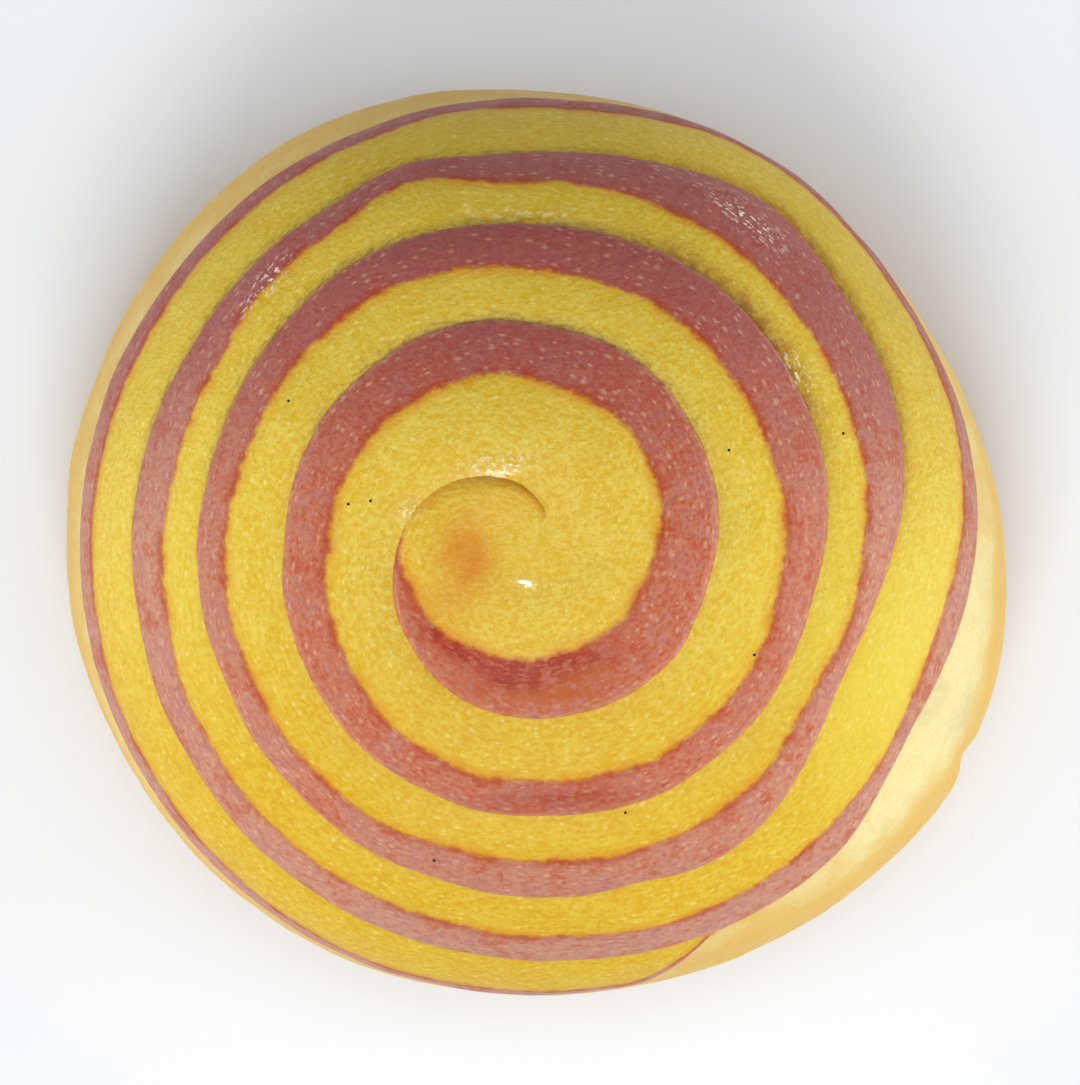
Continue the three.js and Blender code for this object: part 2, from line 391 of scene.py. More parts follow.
@dataclass(frozen=True)
class DoughSurface:
    """The baked surface: the laps of the strip and the unevenness of the dough."""

    form: BunForm = BunForm()
    length: StripLength = field(default_factory=lambda: StripLength(BunForm()))
    lumps: LatticeNoise = field(default_factory=lambda: LatticeNoise(LUMP_SEED))
    fibres: LatticeNoise = field(default_factory=lambda: LatticeNoise(FIBRE_SEED))

    swell: float = 0.5
    swell_lean: float = 1.3
    swell_begins: tuple[float, float] = (2.9, 9.0)
    full_band_width: float = 8.0
    crown_open_turn: float = 160.0
    crease_gap: float = 0.003
    crease_depth_usual: float = 0.42
    crease_depth_least: float = 0.02
    crease_variation: float = 0.35
    depth_wave: Wave = Wave(12.0, 5.5)
    lap_length: float = 1.0
    lap_begins: tuple[float, float] = (2.9, 4.5)
    slope_length: float = 1.7
    bank_turn: float = 110.0
    bank_spread: float = 16.0
    bank_width: float = 0.55
    bank_depth: float = 0.22
    fade_start: float = 66.0
    fade_end: float = 84.0
    soft_from: tuple[float, float] = (106.0, 128.0)
    soft_to: tuple[float, float] = (176.0, 200.0)
    crease_spots: tuple[CreaseSpot, ...] = (
        CreaseSpot(88.0, 16.0, -0.12),
        CreaseSpot(146.0, 24.0, -0.30),
        CreaseSpot(1125.0, 30.0, 0.75),
        CreaseSpot(815.0, 35.0, 0.15),
        CreaseSpot(1560.0, 130.0, -0.16),
    )
    ridges: tuple[Ridge, ...] = (
        Ridge(850.0, 935.0, 0.52, 0.20, 0.26),
        Ridge(500.0, 575.0, 0.60, 0.20, 0.12),
    )
    ridge_fade: float = 22.0
    ridge_power: float = 1.3
    peel_turn: float = 1125.0
    peel_spread: float = 28.0

    lump_size: float = 9.0
    lump_height: float = 0.15
    pucker_size: float = 2.4
    pucker_height: float = 0.03
    pucker_offset: float = 9.0
    fibre_length: float = 4.0
    fibre_width: float = 0.7
    fibre_height: float = 0.012
    fibre_row: float = 0.5
    crease_wander: float = 0.30
    crease_wave: Wave = Wave(6.0, 3.5)
    wander_begins: tuple[float, float] = (100.0, 190.0)
    wander_ends: tuple[float, float] = (10.0, 40.0)
    border_wander: float = 0.22
    border_wave: Wave = Wave(3.2, 8.5)
    full_wander_width: float = 4.0
    far_side: tuple[float, float] = (-34.0, 38.0)
    patches: tuple[Patch, ...] = (
        Patch(Field.ORANGE, (-6.6, -1.4), (2.6, 3.4), 20.0, 1.05),
        Patch(Field.ORANGE, (-8.6, -5.8), (3.4, 2.2), -50.0, 0.40),
        Patch(Field.ORANGE, (-3.0, 3.4), (4.0, 2.0), 20.0, 0.25),
        Patch(Field.SCORCH, (-3.1, -11.3), (1.6, 1.2), -10.0, 1.9),
        Patch(Field.SCORCH, (-7.6, -9.6), (3.4, 1.3), -34.0, 1.5),
        Patch(Field.SCORCH, (2.4, -11.4), (5.4, 1.4), 12.0, 1.1),
        Patch(Field.SCORCH, (-1.5, -13.4), (2.8, 0.8), 0.0, 0.9),
        Patch(Field.SCORCH, (2.0, -24.4), (8.0, 1.1), 3.0, 0.7),
        Patch(Field.ORANGE, (-1.0, -13.6), (5.4, 1.4), 0.0, 1.2),
        Patch(Field.ORANGE, (4.0, -13.2), (4.0, 2.0), 14.0, 0.8),
        Patch(Field.GREY, (38.2, -15.2), (3.0, 1.5), 55.0, 0.8),
        Patch(Field.GREY, (41.6, -17.0), (2.6, 1.2), 60.0, 0.6),
        Patch(Field.LEMON, (36.0, -14.0), (13.0, 20.0), 20.0, 1.0),
        Patch(Field.LEMON, (-34.0, 2.0), (8.0, 20.0), 0.0, 0.5),
        Patch(Field.WET, (-4.8, 6.2), (3.6, 1.4), 12.0, 1.0),
        Patch(Field.WET, (-0.9, -3.8), (1.1, 0.5), 4.0, 0.9),
        Patch(Field.WET, (-12.2, 3.2), (1.4, 1.0), 30.0, 0.8),
        Patch(Field.WET, (-26.8, 10.8), (1.0, 1.8), -10.0, 1.0),
        Patch(Field.PAINTED_GLINTS, (-3.4, 7.0), (2.6, 0.8), 8.0, 1.0),
        Patch(Field.PAINTED_GLINTS, (-11.8, 3.0), (0.9, 0.6), 30.0, 0.9),
        Patch(Field.PAINTED_GLINTS, (20.2, 31.0), (4.2, 0.9), -38.0, 1.0),
        Patch(Field.PAINTED_GLINTS, (-25.9, 24.6), (3.4, 0.8), 50.0, 1.0),
        Patch(Field.PAINTED_GLINTS, (25.0, 15.7), (2.6, 0.8), -62.0, 0.8),
        Patch(Field.PAINTED_GLINTS, (-1.2, 31.2), (4.6, 0.6), 0.0, 0.35),
    )

    def waves(self, turn: np.ndarray, wave: Wave) -> np.ndarray:
        """The height of a wave at turn angles, between about -1 and 1."""
        along = self.length.at(turn) / wave.size
        places = np.stack([along, 0 * along + wave.row, 0 * along], axis=-1)
        return self.lumps.layered(places)

    def crease_angle(self, turn: np.ndarray) -> np.ndarray:
        """The crease's dome angle with its small waves, which die out at both ends."""
        to_tip = self.form.strip_end - turn
        at_ends = ease(turn, *self.wander_begins) * ease(to_tip, *self.wander_ends)
        waves = self.waves(turn, self.crease_wave)
        return self.form.crease_angle(turn) + self.crease_wander * waves * at_ends

    def border_angle(self, turn: np.ndarray) -> np.ndarray:
        """The dome angle of the line between the yellow and the pink."""
        width = self.form.pink_width(turn)
        waves = self.waves(turn, self.border_wave)
        waves = waves * np.clip(width / self.full_wander_width, 0.0, 1.0)
        return self.crease_angle(turn) - width - self.border_wander * waves

    def crease_depth(self, turn: np.ndarray) -> np.ndarray:
        """How deep the crease at a turn angle lies under the smooth dome."""
        waves = self.crease_variation * self.waves(turn, self.depth_wave)
        depth = self.crease_depth_usual * (1.0 + waves)
        for spot in self.crease_spots:
            depth = depth + spot.deepening * bump(turn - spot.turn, spot.spread)
        depth = np.maximum(depth, self.crease_depth_least)
        return depth * ease(turn, self.fade_start, self.fade_end)

    def strip_fields(self, turn: np.ndarray, angle: np.ndarray) -> dict[Field, np.ndarray]:
        """The distances of places on the strip from its borders, in millimetres."""
        inner = np.where(turn - FULL_TURN > self.form.crown_cut, turn - FULL_TURN, 0.0)
        inner_angle = np.where(inner > 0.0, self.crease_angle(inner), 0.0)
        arc = self.form.dome_arc
        peel = bump(turn - FULL_TURN - self.peel_turn, self.peel_spread)
        peel = peel + bump(turn - self.peel_turn, self.peel_spread)
        return {
            Field.FROM_CREASE: (angle - inner_angle) * arc,
            Field.TO_CREASE: (self.crease_angle(turn) - angle) * arc,
            Field.FROM_BORDER: (angle - self.border_angle(turn)) * arc,
            Field.TURNS: turn / FULL_TURN,
            Field.PEEL: peel,
        }

    def strip_relief(self, turn: np.ndarray, angle: np.ndarray) -> np.ndarray:
        """How far the strip stands proud of the smooth dome, before the fine unevenness."""
        fields = self.strip_fields(turn, angle)
        from_crease = np.maximum(fields[Field.FROM_CREASE], 0.0)
        to_crease = np.maximum(fields[Field.TO_CREASE], 0.0)
        inner = turn - FULL_TURN
        opened = ease(inner, self.form.crown_cut, self.crown_open_turn)
        opened = self.crease_angle(inner) * opened
        width = (self.crease_angle(turn) - opened) * self.form.dome_arc
        width = np.maximum(width, LEAST_WIDTH)
        across = np.clip(1.0 - to_crease / width, 0.0, 1.0)
        swell = self.swell * np.minimum(1.0, width / self.full_band_width)
        swell = swell * ease(angle, *self.swell_begins)
        rise = self.crease_depth(inner) * np.exp(-from_crease / self.slope_length)
        bank = bump(inner - self.bank_turn, self.bank_spread) * bump(from_crease, self.bank_width)
        rise = rise + self.bank_depth * bank
        edge = np.clip(1.0 - to_crease / self.lap_length, 0.0, 1.0)
        wide = np.clip(1.0 - to_crease / self.slope_length, 0.0, 1.0)
        softness = ease(turn, *self.soft_from) * (1.0 - ease(turn, *self.soft_to))
        rounded = 1.0 - np.sqrt(1.0 - edge**2)
        lap = self.crease_depth(turn) * (rounded + softness * (wide**2 - rounded))
        lap = lap * ease(angle, *self.lap_begins)
        relief = swell * np.sin(np.pi * across**self.swell_lean) - rise - lap
        return relief + self.ridge_relief(turn, fields)

    def ridge_relief(self, turn: np.ndarray, fields: dict[Field, np.ndarray]) -> np.ndarray:
        """How far the folds along the pink edge stand up."""
        width = fields[Field.TO_CREASE] + fields[Field.FROM_BORDER]
        width = np.maximum(width, LEAST_WIDTH)
        across = fields[Field.FROM_BORDER] / width
        relief = np.zeros(turn.shape)
        for ridge in self.ridges:
            along = ease(turn, ridge.start, ridge.start + self.ridge_fade)
            along = along * ease(-turn, -ridge.end, self.ridge_fade - ridge.end)
            away = np.abs(across - ridge.across) / ridge.spread
            relief = relief + ridge.height * along * np.exp(-(away**self.ridge_power))
        return relief

    def unevenness(self, points: np.ndarray, run: np.ndarray,
                   across: np.ndarray) -> tuple[np.ndarray, np.ndarray]:
        """The lumps and puckers of the dough, and its fibres, at points of its surface.

        Args:
            points: The points of the surface.
            run: The length along the strip at each point.
            across: The distance across it.

        Returns:
            The height of the lumps and puckers, and the height of the fibres.
        """
        lumps = self.lump_height * self.lumps.layered(points / self.lump_size)
        puckers = self.lumps.layered(points / self.pucker_size + self.pucker_offset)
        puckers = self.pucker_height * puckers
        steps = [run / self.fibre_length, across / self.fibre_width, 0.0 * run + self.fibre_row]
        fibres = self.fibre_height * self.fibres.single(np.stack(steps, axis=-1))
        return lumps + puckers, fibres

    def stain(self, points: np.ndarray, fields: dict[Field, np.ndarray]) -> None:
        """Writes the patches, painted glints among them, and the shared values into the fields of
        a sheet.
        """
        axis = self.form.axis_shift()
        for patch in self.patches:
            fields[patch.kind] = fields.get(patch.kind, 0.0) + patch.at(points, axis)
        fields[Field.FAR_SIDE] = ease(points[..., 1], *self.far_side)


# ---- Meshes ------------------------------------------------------------------------------


@dataclass
class Sheet:
    """A grid of surface points with the values they carry; rows run along the dough."""

    points: np.ndarray
    run: np.ndarray
    across: np.ndarray
    fields: dict[Field, np.ndarray]

    @property
    def shape(self) -> tuple[int, int]:
        """How many rows and columns the sheet has."""
        return self.points.shape[:2]


class MeshBook:
    """Gathers the sheets of one piece and turns them into a closed mesh object."""

    MERGE_DISTANCE = 2e-8
    SHARP_ANGLE = math.radians(55.0)

    def __init__(self, name: str) -> None:
        """Starts an empty book.

        Args:
            name: The name of the piece.
        """
        self.name = name
        self.points: list[np.ndarray] = []
        self.values: dict[Field, list[np.ndarray]] = {each: [] for each in Field}
        self.run: list[np.ndarray] = []
        self.across: list[np.ndarray] = []
        self.quads: list[np.ndarray] = []
        self.count = 0

    def add(self, sheet: Sheet, closed_rows: bool = False, closed_columns: bool = False,
            first_row: int = 0) -> None:
        """Adds a sheet and the faces between its points.

        Args:
            sheet: The sheet to add.
            closed_rows: Whether the last row joins the first.
            closed_columns: Whether the last column joins the first.
            first_row: The row that a closing column starts from.
        """
        rows, columns = sheet.shape
        self.points.append(sheet.points.reshape(-1, 3))
        self.run.append(sheet.run.reshape(-1))
        self.across.append(sheet.across.reshape(-1))
        for each in Field:
            value = sheet.fields.get(each, np.zeros(sheet.shape))
            self.values[each].append(value.reshape(-1))
        index = self.count + np.arange(rows * columns).reshape(rows, columns)
        self.quads.append(self._faces(index, closed_rows))
        if closed_columns:
            seam = index[first_row:][:, [columns - 1, 0]]
            self.quads.append(self._faces(seam, closed_rows))
        self.count += rows * columns

    @staticmethod
    def _faces(index: np.ndarray, closed_rows: bool) -> np.ndarray:
        """The quads of a grid of point numbers."""
        if closed_rows:
            index = np.vstack([index, index[:1]])
        near, far = index[:-1], index[1:]
        corners = [near[:, :-1], near[:, 1:], far[:, 1:], far[:, :-1]]
        return np.stack(corners, axis=-1).reshape(-1, 4)

    def build(self) -> bpy.types.Object:
        """Makes the object, with alike points joined and all faces pointing out."""
        mesh = bpy.data.meshes.new(self.name)
        points = np.concatenate(self.points) * MM
        quads = np.concatenate(self.quads)
        mesh.from_pydata(points.tolist(), [], quads.tolist())
        for each in Field:
            layer = mesh.attributes.new(each.value, "FLOAT", "POINT")
            layer.data.foreach_set("value", np.concatenate(self.values[each]).astype(np.float32))
        corner_points = np.empty(len(mesh.loops), dtype=np.int32)
        mesh.loops.foreach_get("vertex_index", corner_points)
        strip = np.stack([np.concatenate(self.run), np.concatenate(self.across)], axis=-1)
        strip_map = mesh.uv_layers.new(name=STRIP_MAP)
        strip_map.data.foreach_set("uv", strip[corner_points].astype(np.float32).reshape(-1))
        self._close(mesh)
        piece = bpy.data.objects.new(self.name, mesh)
        bpy.context.scene.collection.objects.link(piece)
        return piece

    def _close(self, mesh: bpy.types.Mesh) -> None:
        """Joins alike points, turns the faces outwards and smooths them up to the edges."""
        shape = bmesh.new()
        shape.from_mesh(mesh)
        bmesh.ops.remove_doubles(shape, verts=shape.verts, dist=self.MERGE_DISTANCE)
        ends = [edge for edge in shape.edges if len(edge.link_faces) == 1]
        bmesh.ops.holes_fill(shape, edges=ends, sides=0)
        bmesh.ops.recalc_face_normals(shape, faces=shape.faces)
        open_edges = sum(1 for edge in shape.edges if len(edge.link_faces) != 2)
        if open_edges:
            LOG.warning("%s has %d edges without exactly two faces", self.name, open_edges)
        for face in shape.faces:
            face.smooth = True
        shape.to_mesh(mesh)
        shape.free()
        mesh.set_sharp_from_angle(angle=self.SHARP_ANGLE)


@dataclass
class StripRows:
    """The rows that the strip's meshes are divided into, closer where it winds tightly."""

    surface: DoughSurface
    spacing: float = 0.42

    def __post_init__(self) -> None:
        """Sets out the turn angles of the rows and the length along the strip."""
        form = self.surface.form
        stops = [form.crown_cut, form.pink_start, form.crown_cut + FULL_TURN, form.strip_end]
        length = self.surface.length
        turns: list[np.ndarray] = []
        for start, end in zip(stops[:-1], stops[1:]):
            low, high = length.at(np.array([start, end]))
            count = max(2, int((high - low) / self.spacing))
            steps = length.turn_at(np.linspace(low, high, count + 1))
            steps[0], steps[-1] = start, end
            turns.append(steps[:-1])
        self.turns = np.concatenate([*turns, [form.strip_end]])
        self.run = length.at(self.turns)
        self.crown_rows = int(np.searchsorted(self.turns, stops[2])) + 1
        self.pink_row = int(np.searchsorted(self.turns, form.pink_start))


@dataclass
class StripBand:
    """What the two bands of the strip share: their cuts and how their sheets are made."""

    surface: DoughSurface
    rows: StripRows
    columns: int = 24
    pulls: tuple[float, float] = (0.55, 0.3)
    full_gap_width: float = 3.0
    inner_gap_opens: tuple[float, float] = (425.0, 480.0)
    outer_gap_ramp: float = 60.0
    tuck: float = 0.35
    tuck_drop: float = 0.05
    pole_fade: tuple[float, float] = (0.0, 6.0)
    pole_lumps: float = 0.3
    fibre_fade: tuple[float, float] = (3.0, 8.0)
    crown_fade: tuple[float, float] = (12.0, 26.0)

    def pink_begun(self, turn: np.ndarray) -> np.ndarray:
        """How far the pink has set in, from 0 where there is none to 1."""
        return np.clip(self.surface.form.pink_width(turn), 0.0, 1.0)

    def borders(self, turn: np.ndarray) -> tuple[np.ndarray, np.ndarray, np.ndarray]:
        """The dome angles of the strip's inner crease, colour border and outer crease."""
        form = self.surface.form
        past_crown = turn >= form.crown_cut + FULL_TURN
        inner = np.where(
            past_crown, self.surface.crease_angle(turn - FULL_TURN), form.crease_angle(turn * 0)
        )
        outer = self.surface.crease_angle(turn)
        wide = np.clip((outer - inner) / self.full_gap_width, 0.0, 1.0)
        gap = self.surface.crease_gap * wide
        begun = self.pink_begun(turn)
        border = self.surface.border_angle(turn) - gap * (1.0 - begun)
        opening = gap * ease(turn, *self.inner_gap_opens)
        start = inner + np.where(past_crown, opening, 0.0)
        end = outer - gap * ease(turn, form.crown_cut, form.crown_cut + self.outer_gap_ramp)
        return start, np.where(begun > 0, border, end), end

    def sheet(self, turn: np.ndarray, run: np.ndarray, angle: np.ndarray,
              drop: np.ndarray) -> Sheet:
        """A sheet of the strip's surface.

        Args:
            turn: The turn angle of each row.
            run: The length along the strip at each row.
            angle: The dome angles, one row for each turn angle.
            drop: How far each point lies under the surface.

        Returns:
            The sheet, with the values that its material reads.
        """
        turns = np.broadcast_to(turn[:, None], angle.shape)
        runs = np.broadcast_to(run[:, None], angle.shape)
        relief = self.surface.strip_relief(turns, angle)
        fields = self.surface.strip_fields(turns, angle)
        smooth = self.surface.form.place(turns, angle, relief)
        across = fields[Field.FROM_BORDER]
        lumps, fibres = self.surface.unevenness(smooth, runs, across)
        fade = self.pole_lumps + (1.0 - self.pole_lumps) * ease(angle, *self.pole_fade)
        uneven = lumps * fade + fibres * ease(angle, *self.fibre_fade)
        points = self.surface.form.place(turns, angle, relief + uneven - drop)
        fields[Field.CROWN] = 1.0 - ease(angle, *self.crown_fade)
        self.surface.stain(points, fields)
        return Sheet(points, runs, across, fields)

    def deep(self, turn: np.ndarray, run: np.ndarray, angle: np.ndarray) -> Sheet:
        """A sheet of points at the bottom of the strip, under the given dome angles."""
        turns = np.broadcast_to(turn[:, None], angle.shape)
        runs = np.broadcast_to(run[:, None], angle.shape)
        form = self.surface.form
        points = form.sink(form.place(turns, angle, 0 * angle), form.strip_depth)
        return Sheet(points, runs, 0 * angle, {})

    def band(self, turn: np.ndarray, run: np.ndarray, inner: np.ndarray,
             outer: np.ndarray, tucks_out: bool) -> Sheet:
        """A band of the strip, with its underside and the rim that it tucks under.

        Args:
            turn: The turn angle of each row.
            run: The length along the strip at each row.
            inner: The dome angle of the inner edge at each row.
            outer: The dome angle of the outer edge at each row.
            tucks_out: Whether it tucks under at its outer edge, or else at its inner one.

        Returns:
            The top and the underside, side by side.
        """
        places = eased_steps(self.columns, *self.pulls)
        angle = inner[:, None] + (outer - inner)[:, None] * places[None, :]
        begun = self.pink_begun(turn)
        if tucks_out:
            angle = np.hstack([angle, (outer + self.tuck * begun)[:, None]])
        else:
            angle = np.hstack([(inner - self.tuck * begun)[:, None], angle])
        drop = np.zeros(angle.shape)
        drop[:, -1 if tucks_out else 0] = self.tuck_drop * begun
        top = self.sheet(turn, run, angle, drop)
        below = self.deep(turn, run, np.stack([outer, inner], axis=1))
        return self.side_by_side(top, below)

    @staticmethod
    def side_by_side(*sheets: Sheet) -> Sheet:
        """Joins sheets with the same rows into one."""
        fields = {}
        for each in Field:
            parts = [sheet.fields.get(each, np.zeros(sheet.shape)) for sheet in sheets]
            fields[each] = np.hstack(parts)
        return Sheet(
            np.concatenate([sheet.points for sheet in sheets], axis=1),
            np.hstack([sheet.run for sheet in sheets]),
            np.hstack([sheet.across for sheet in sheets]),
            fields,
        )


def eased_steps(count: int, start_pull: float, end_pull: float,
                pull_reach: float = 0.25) -> np.ndarray:
    """Steps from 0 to 1 that crowd towards either end by its pull.

    Args:
        count: How many steps there are.
        start_pull: How strongly they crowd towards the start, from 0 to 1.
        end_pull: The same towards the end.
        pull_reach: How far from an end its pull is felt.

    Returns:
        The count + 1 places.
    """
    even = np.linspace(0.0, 1.0, count + 1)
    at_start, at_end = bump(even, pull_reach), bump(1.0 - even, pull_reach)
    pace = 1.0 - start_pull * at_start - end_pull * at_end
    places = np.concatenate([[0.0], np.cumsum(0.5 * (pace[1:] + pace[:-1]))])
    return places / places[-1]


@dataclass
class YellowBand(StripBand):
    """The yellow band of the strip, whose inner end makes the crown."""

    crown_rings: int = 10

    def build(self) -> bpy.types.Object:
        """Makes the band and the small cap of the crown that it starts from."""
        turn, run = self.rows.turns, self.rows.run
        start, border, _ = self.borders(turn)
        band = self.band(turn, run, start, border, tucks_out=True)
        book = MeshBook("yellow_band")
        book.add(band, closed_columns=True, first_row=self.rows.crown_rows - 1)
        self._add_crown(book, start)
        return book.build()

    def _add_crown(self, book: MeshBook, start: np.ndarray) -> None:
        """Adds the cap of the crown, above and below, inside the strip's first turn."""
        rows = slice(0, self.rows.crown_rows)
        turn, run = self.rows.turns[rows], self.rows.run[rows]
        places = np.linspace(0.0, 1.0, self.crown_rings + 1)
        angle = start[rows][:, None] * places[None, :]
        book.add(self.sheet(turn, run, angle, np.zeros(angle.shape)))
        book.add(self.deep(turn, run, angle[:, [0, -1]]))


@dataclass
class PinkBand(StripBand):
    """The pink band along the strip's outer edge, which laps onto the next turn."""

    columns: int = 20
    pulls: tuple[float, float] = (0.2, 0.75)

    def build(self) -> bpy.types.Object:
        """Makes the band."""
        rows = slice(self.rows.pink_row, None)
        turn, run = self.rows.turns[rows], self.rows.run[rows]
        _, border, end = self.borders(turn)
        book = MeshBook("pink_band")
        book.add(self.band(turn, run, border, end, tucks_out=False), closed_columns=True)
        return book.build()


@dataclass
class PlainBody:
    """The plain dough: the side below the last crease, the base and the core."""

    surface: DoughSurface
    turn_step: float = 0.5
    side_rows: int = 90
    pulls: tuple[float, float] = (0.6, 0.75)
    foot_round: float = 0.9
    foot_fade: float = 12.0
    wrinkle_height: float = 0.03
    wrinkle_size: float = 1.3
    base_shares: tuple[float, ...] = (0.0, 0.35, 0.7, 0.93)
    core_steps: int = 4
    wrinkles: LatticeNoise = field(default_factory=lambda: LatticeNoise(WRINKLE_SEED))

    def build(self) -> bpy.types.Object:
        """Makes the body as one sheet from the middle of the base over to the core."""
        form = self.surface.form
        turn = np.arange(form.strip_end - FULL_TURN, form.strip_end, self.turn_step)
        rim = self.surface.crease_angle(turn) + self.surface.crease_gap
        places = eased_steps(self.side_rows, *self.pulls)
        foot = form.base_dome_angle
        angle = foot + (rim - foot)[:, None] * places[None, :]
        turns = np.broadcast_to(turn[:, None], angle.shape)
        side = self._side(turns, angle)
        base = self._base(side)
        core = self._core(turns, rim)
        book = MeshBook("plain_body")
        book.add(StripBand.side_by_side(base, side, core), closed_rows=True)
        return book.build()

    def _side(self, turns: np.ndarray, angle: np.ndarray) -> Sheet:
        """The baked side, which sinks to the crease and rounds in to the foot."""
        form = self.surface.form
        distance = (angle - self.surface.crease_angle(turns)) * form.dome_arc
        depth = self.surface.crease_depth(turns)
        relief = -depth * np.exp(-np.maximum(distance, 0.0) / self.surface.slope_length)
        smooth = form.place(turns, angle, relief)
        run = np.radians(turns) * form.outline_radius(turns)
        at_foot = ease(form.base_dome_angle - angle, 0.0, self.foot_fade)
        uneven = sum(self.surface.unevenness(smooth, run, distance))
        fine = self.wrinkle_height * self.wrinkles.layered(smooth / self.wrinkle_size)
        points = form.place(turns, angle, relief + (uneven + fine) * at_foot)
        lift = self.foot_round
        points[..., 2] = np.sqrt(np.maximum(points[..., 2], 0.0) ** 2 + lift**2) - lift
        low = (angle - WIDEST) / (form.base_dome_angle - WIDEST)
        fields = {Field.FROM_CREASE: distance, Field.LOW: np.clip(low, 0.0, 1.0)}
        self.surface.stain(points, fields)
        return Sheet(points, run, distance, fields)

    def _base(self, side: Sheet) -> Sheet:
        """The flat base, from its middle out to the foot."""
        shares = np.array(self.base_shares)
        foot = side.points[:, :1]
        middle = self.surface.form.axis_shift()
        points = middle + (foot - middle) * shares[None, :, None]
        shape = points.shape[:2]
        fields = {
            Field.LOW: np.ones(shape),
            Field.FROM_CREASE: np.broadcast_to(side.fields[Field.FROM_CREASE][:, :1], shape),
        }
        run = np.broadcast_to(side.run[:, :1], shape)
        across = np.broadcast_to(side.across[:, :1], shape)
        return Sheet(points, run, across, fields)

    def _core(self, turns: np.ndarray, rim: np.ndarray) -> Sheet:
        """The hidden core under the strip, from the rim to the middle."""
        form = self.surface.form
        shares = np.linspace(1.0, 0.0, self.core_steps + 1)
        angle = rim[:, None] * shares[None, :]
        around = np.broadcast_to(turns[:, :1], angle.shape)
        points = form.sink(form.place(around, angle, 0 * angle), form.core_depth)
        return Sheet(points, 0 * angle, 0 * angle, {})


# ---- Shader node groups ------------------------------------------------------------------


class NodeSketch:
    """Adds nodes to a tree and links them in few words."""

    def __init__(self, tree: bpy.types.NodeTree) -> None:
        """Takes the tree to draw in."""
        self.tree = tree

    def node(self, kind: str, **settings: object) -> bpy.types.Node:
        """Adds a node and sets its properties."""
        node = self.tree.nodes.new(kind)
        for name, value in settings.items():
            setattr(node, name, value)
        return node

    def feed(self, socket: bpy.types.NodeSocket, source: object) -> None:
        """Links a socket to another, or sets its value."""
        if isinstance(source, bpy.types.NodeSocket):
            self.tree.links.new(source, socket)
        elif source is not None:
            socket.default_value = source

    def math(self, operation: str, first: object, second: object = None,
             third: object = None, clamp: bool = False) -> bpy.types.NodeSocket:
        """A calculation with one, two or three values."""
        node = self.node("ShaderNodeMath", operation=operation, use_clamp=clamp)
        for socket, source in zip(node.inputs, (first, second, third)):
            self.feed(socket, source)
        return node.outputs[0]

    def ramp(self, value: object, low: float, high: float,
             to_low: float = 0.0, to_high: float = 1.0) -> bpy.types.NodeSocket:
        """A value mapped smoothly from one range to another, and held at its ends."""
        node = self.node("ShaderNodeMapRange", interpolation_type="SMOOTHSTEP")
        for name, source in (("Value", value), ("From Min", low), ("From Max", high),
                             ("To Min", to_low), ("To Max", to_high)):
            self.feed(node.inputs[name], source)
        return node.outputs["Result"]

    def blend(self, factor: object, first: object, second: object,
              mode: str = "MIX") -> bpy.types.NodeSocket:
        """Two colours blended by a factor."""
        node = self.node("ShaderNodeMix", data_type="RGBA", blend_type=mode)
        self.feed(node.inputs[0], factor)
        self.feed(node.inputs[6], first)
        self.feed(node.inputs[7], second)
        return node.outputs[2]

    def noise(self, vector: object, scale: float, detail: float, rough: float,
              dimensions: str = "3D") -> bpy.types.NodeSocket:
        """Noise over a vector, between 0 and 1."""
        node = self.node("ShaderNodeTexNoise", noise_dimensions=dimensions)
        self.feed(node.inputs["Vector"], vector)
        self.feed(node.inputs["Scale"], scale)
        self.feed(node.inputs["Detail"], detail)
        self.feed(node.inputs["Roughness"], rough)
        return node.outputs["Fac"]

    def scaled(self, vector: object, scale: object) -> bpy.types.NodeSocket:
        """A vector multiplied by another, part by part."""
        node = self.node("ShaderNodeVectorMath", operation="MULTIPLY")
        self.feed(node.inputs[0], vector)
        self.feed(node.inputs[1], scale)
        return node.outputs[0]

    def stretched(self, vector: object, along: object, across: object) -> bpy.types.NodeSocket:
        """A place on the strip, scaled by a number along it and another across it."""
        pull = self.node("ShaderNodeCombineXYZ")
        self.feed(pull.inputs[0], along)
        self.feed(pull.inputs[1], across)
        return self.scaled(vector, pull.outputs[0])

    def cells(self, vector: object, scale: object,
              dimensions: str = "3D") -> tuple[bpy.types.NodeSocket, ...]:
        """Cells round scattered points: the distance to each point and two random values."""
        node = self.node("ShaderNodeTexVoronoi", voronoi_dimensions=dimensions)
        self.feed(node.inputs["Vector"], vector)
        self.feed(node.inputs["Scale"], scale)
        split = self.node("ShaderNodeSeparateColor")
        self.feed(split.inputs[0], node.outputs["Color"])
        return node.outputs["Distance"], split.outputs[0], split.outputs[1]

    def value(self, each: Field) -> bpy.types.NodeSocket:
        """A value that the surface carries."""
        return self.node("ShaderNodeAttribute", attribute_name=each.value).outputs["Fac"]


FLOAT, VECTOR = "NodeSocketFloat", "NodeSocketVector"


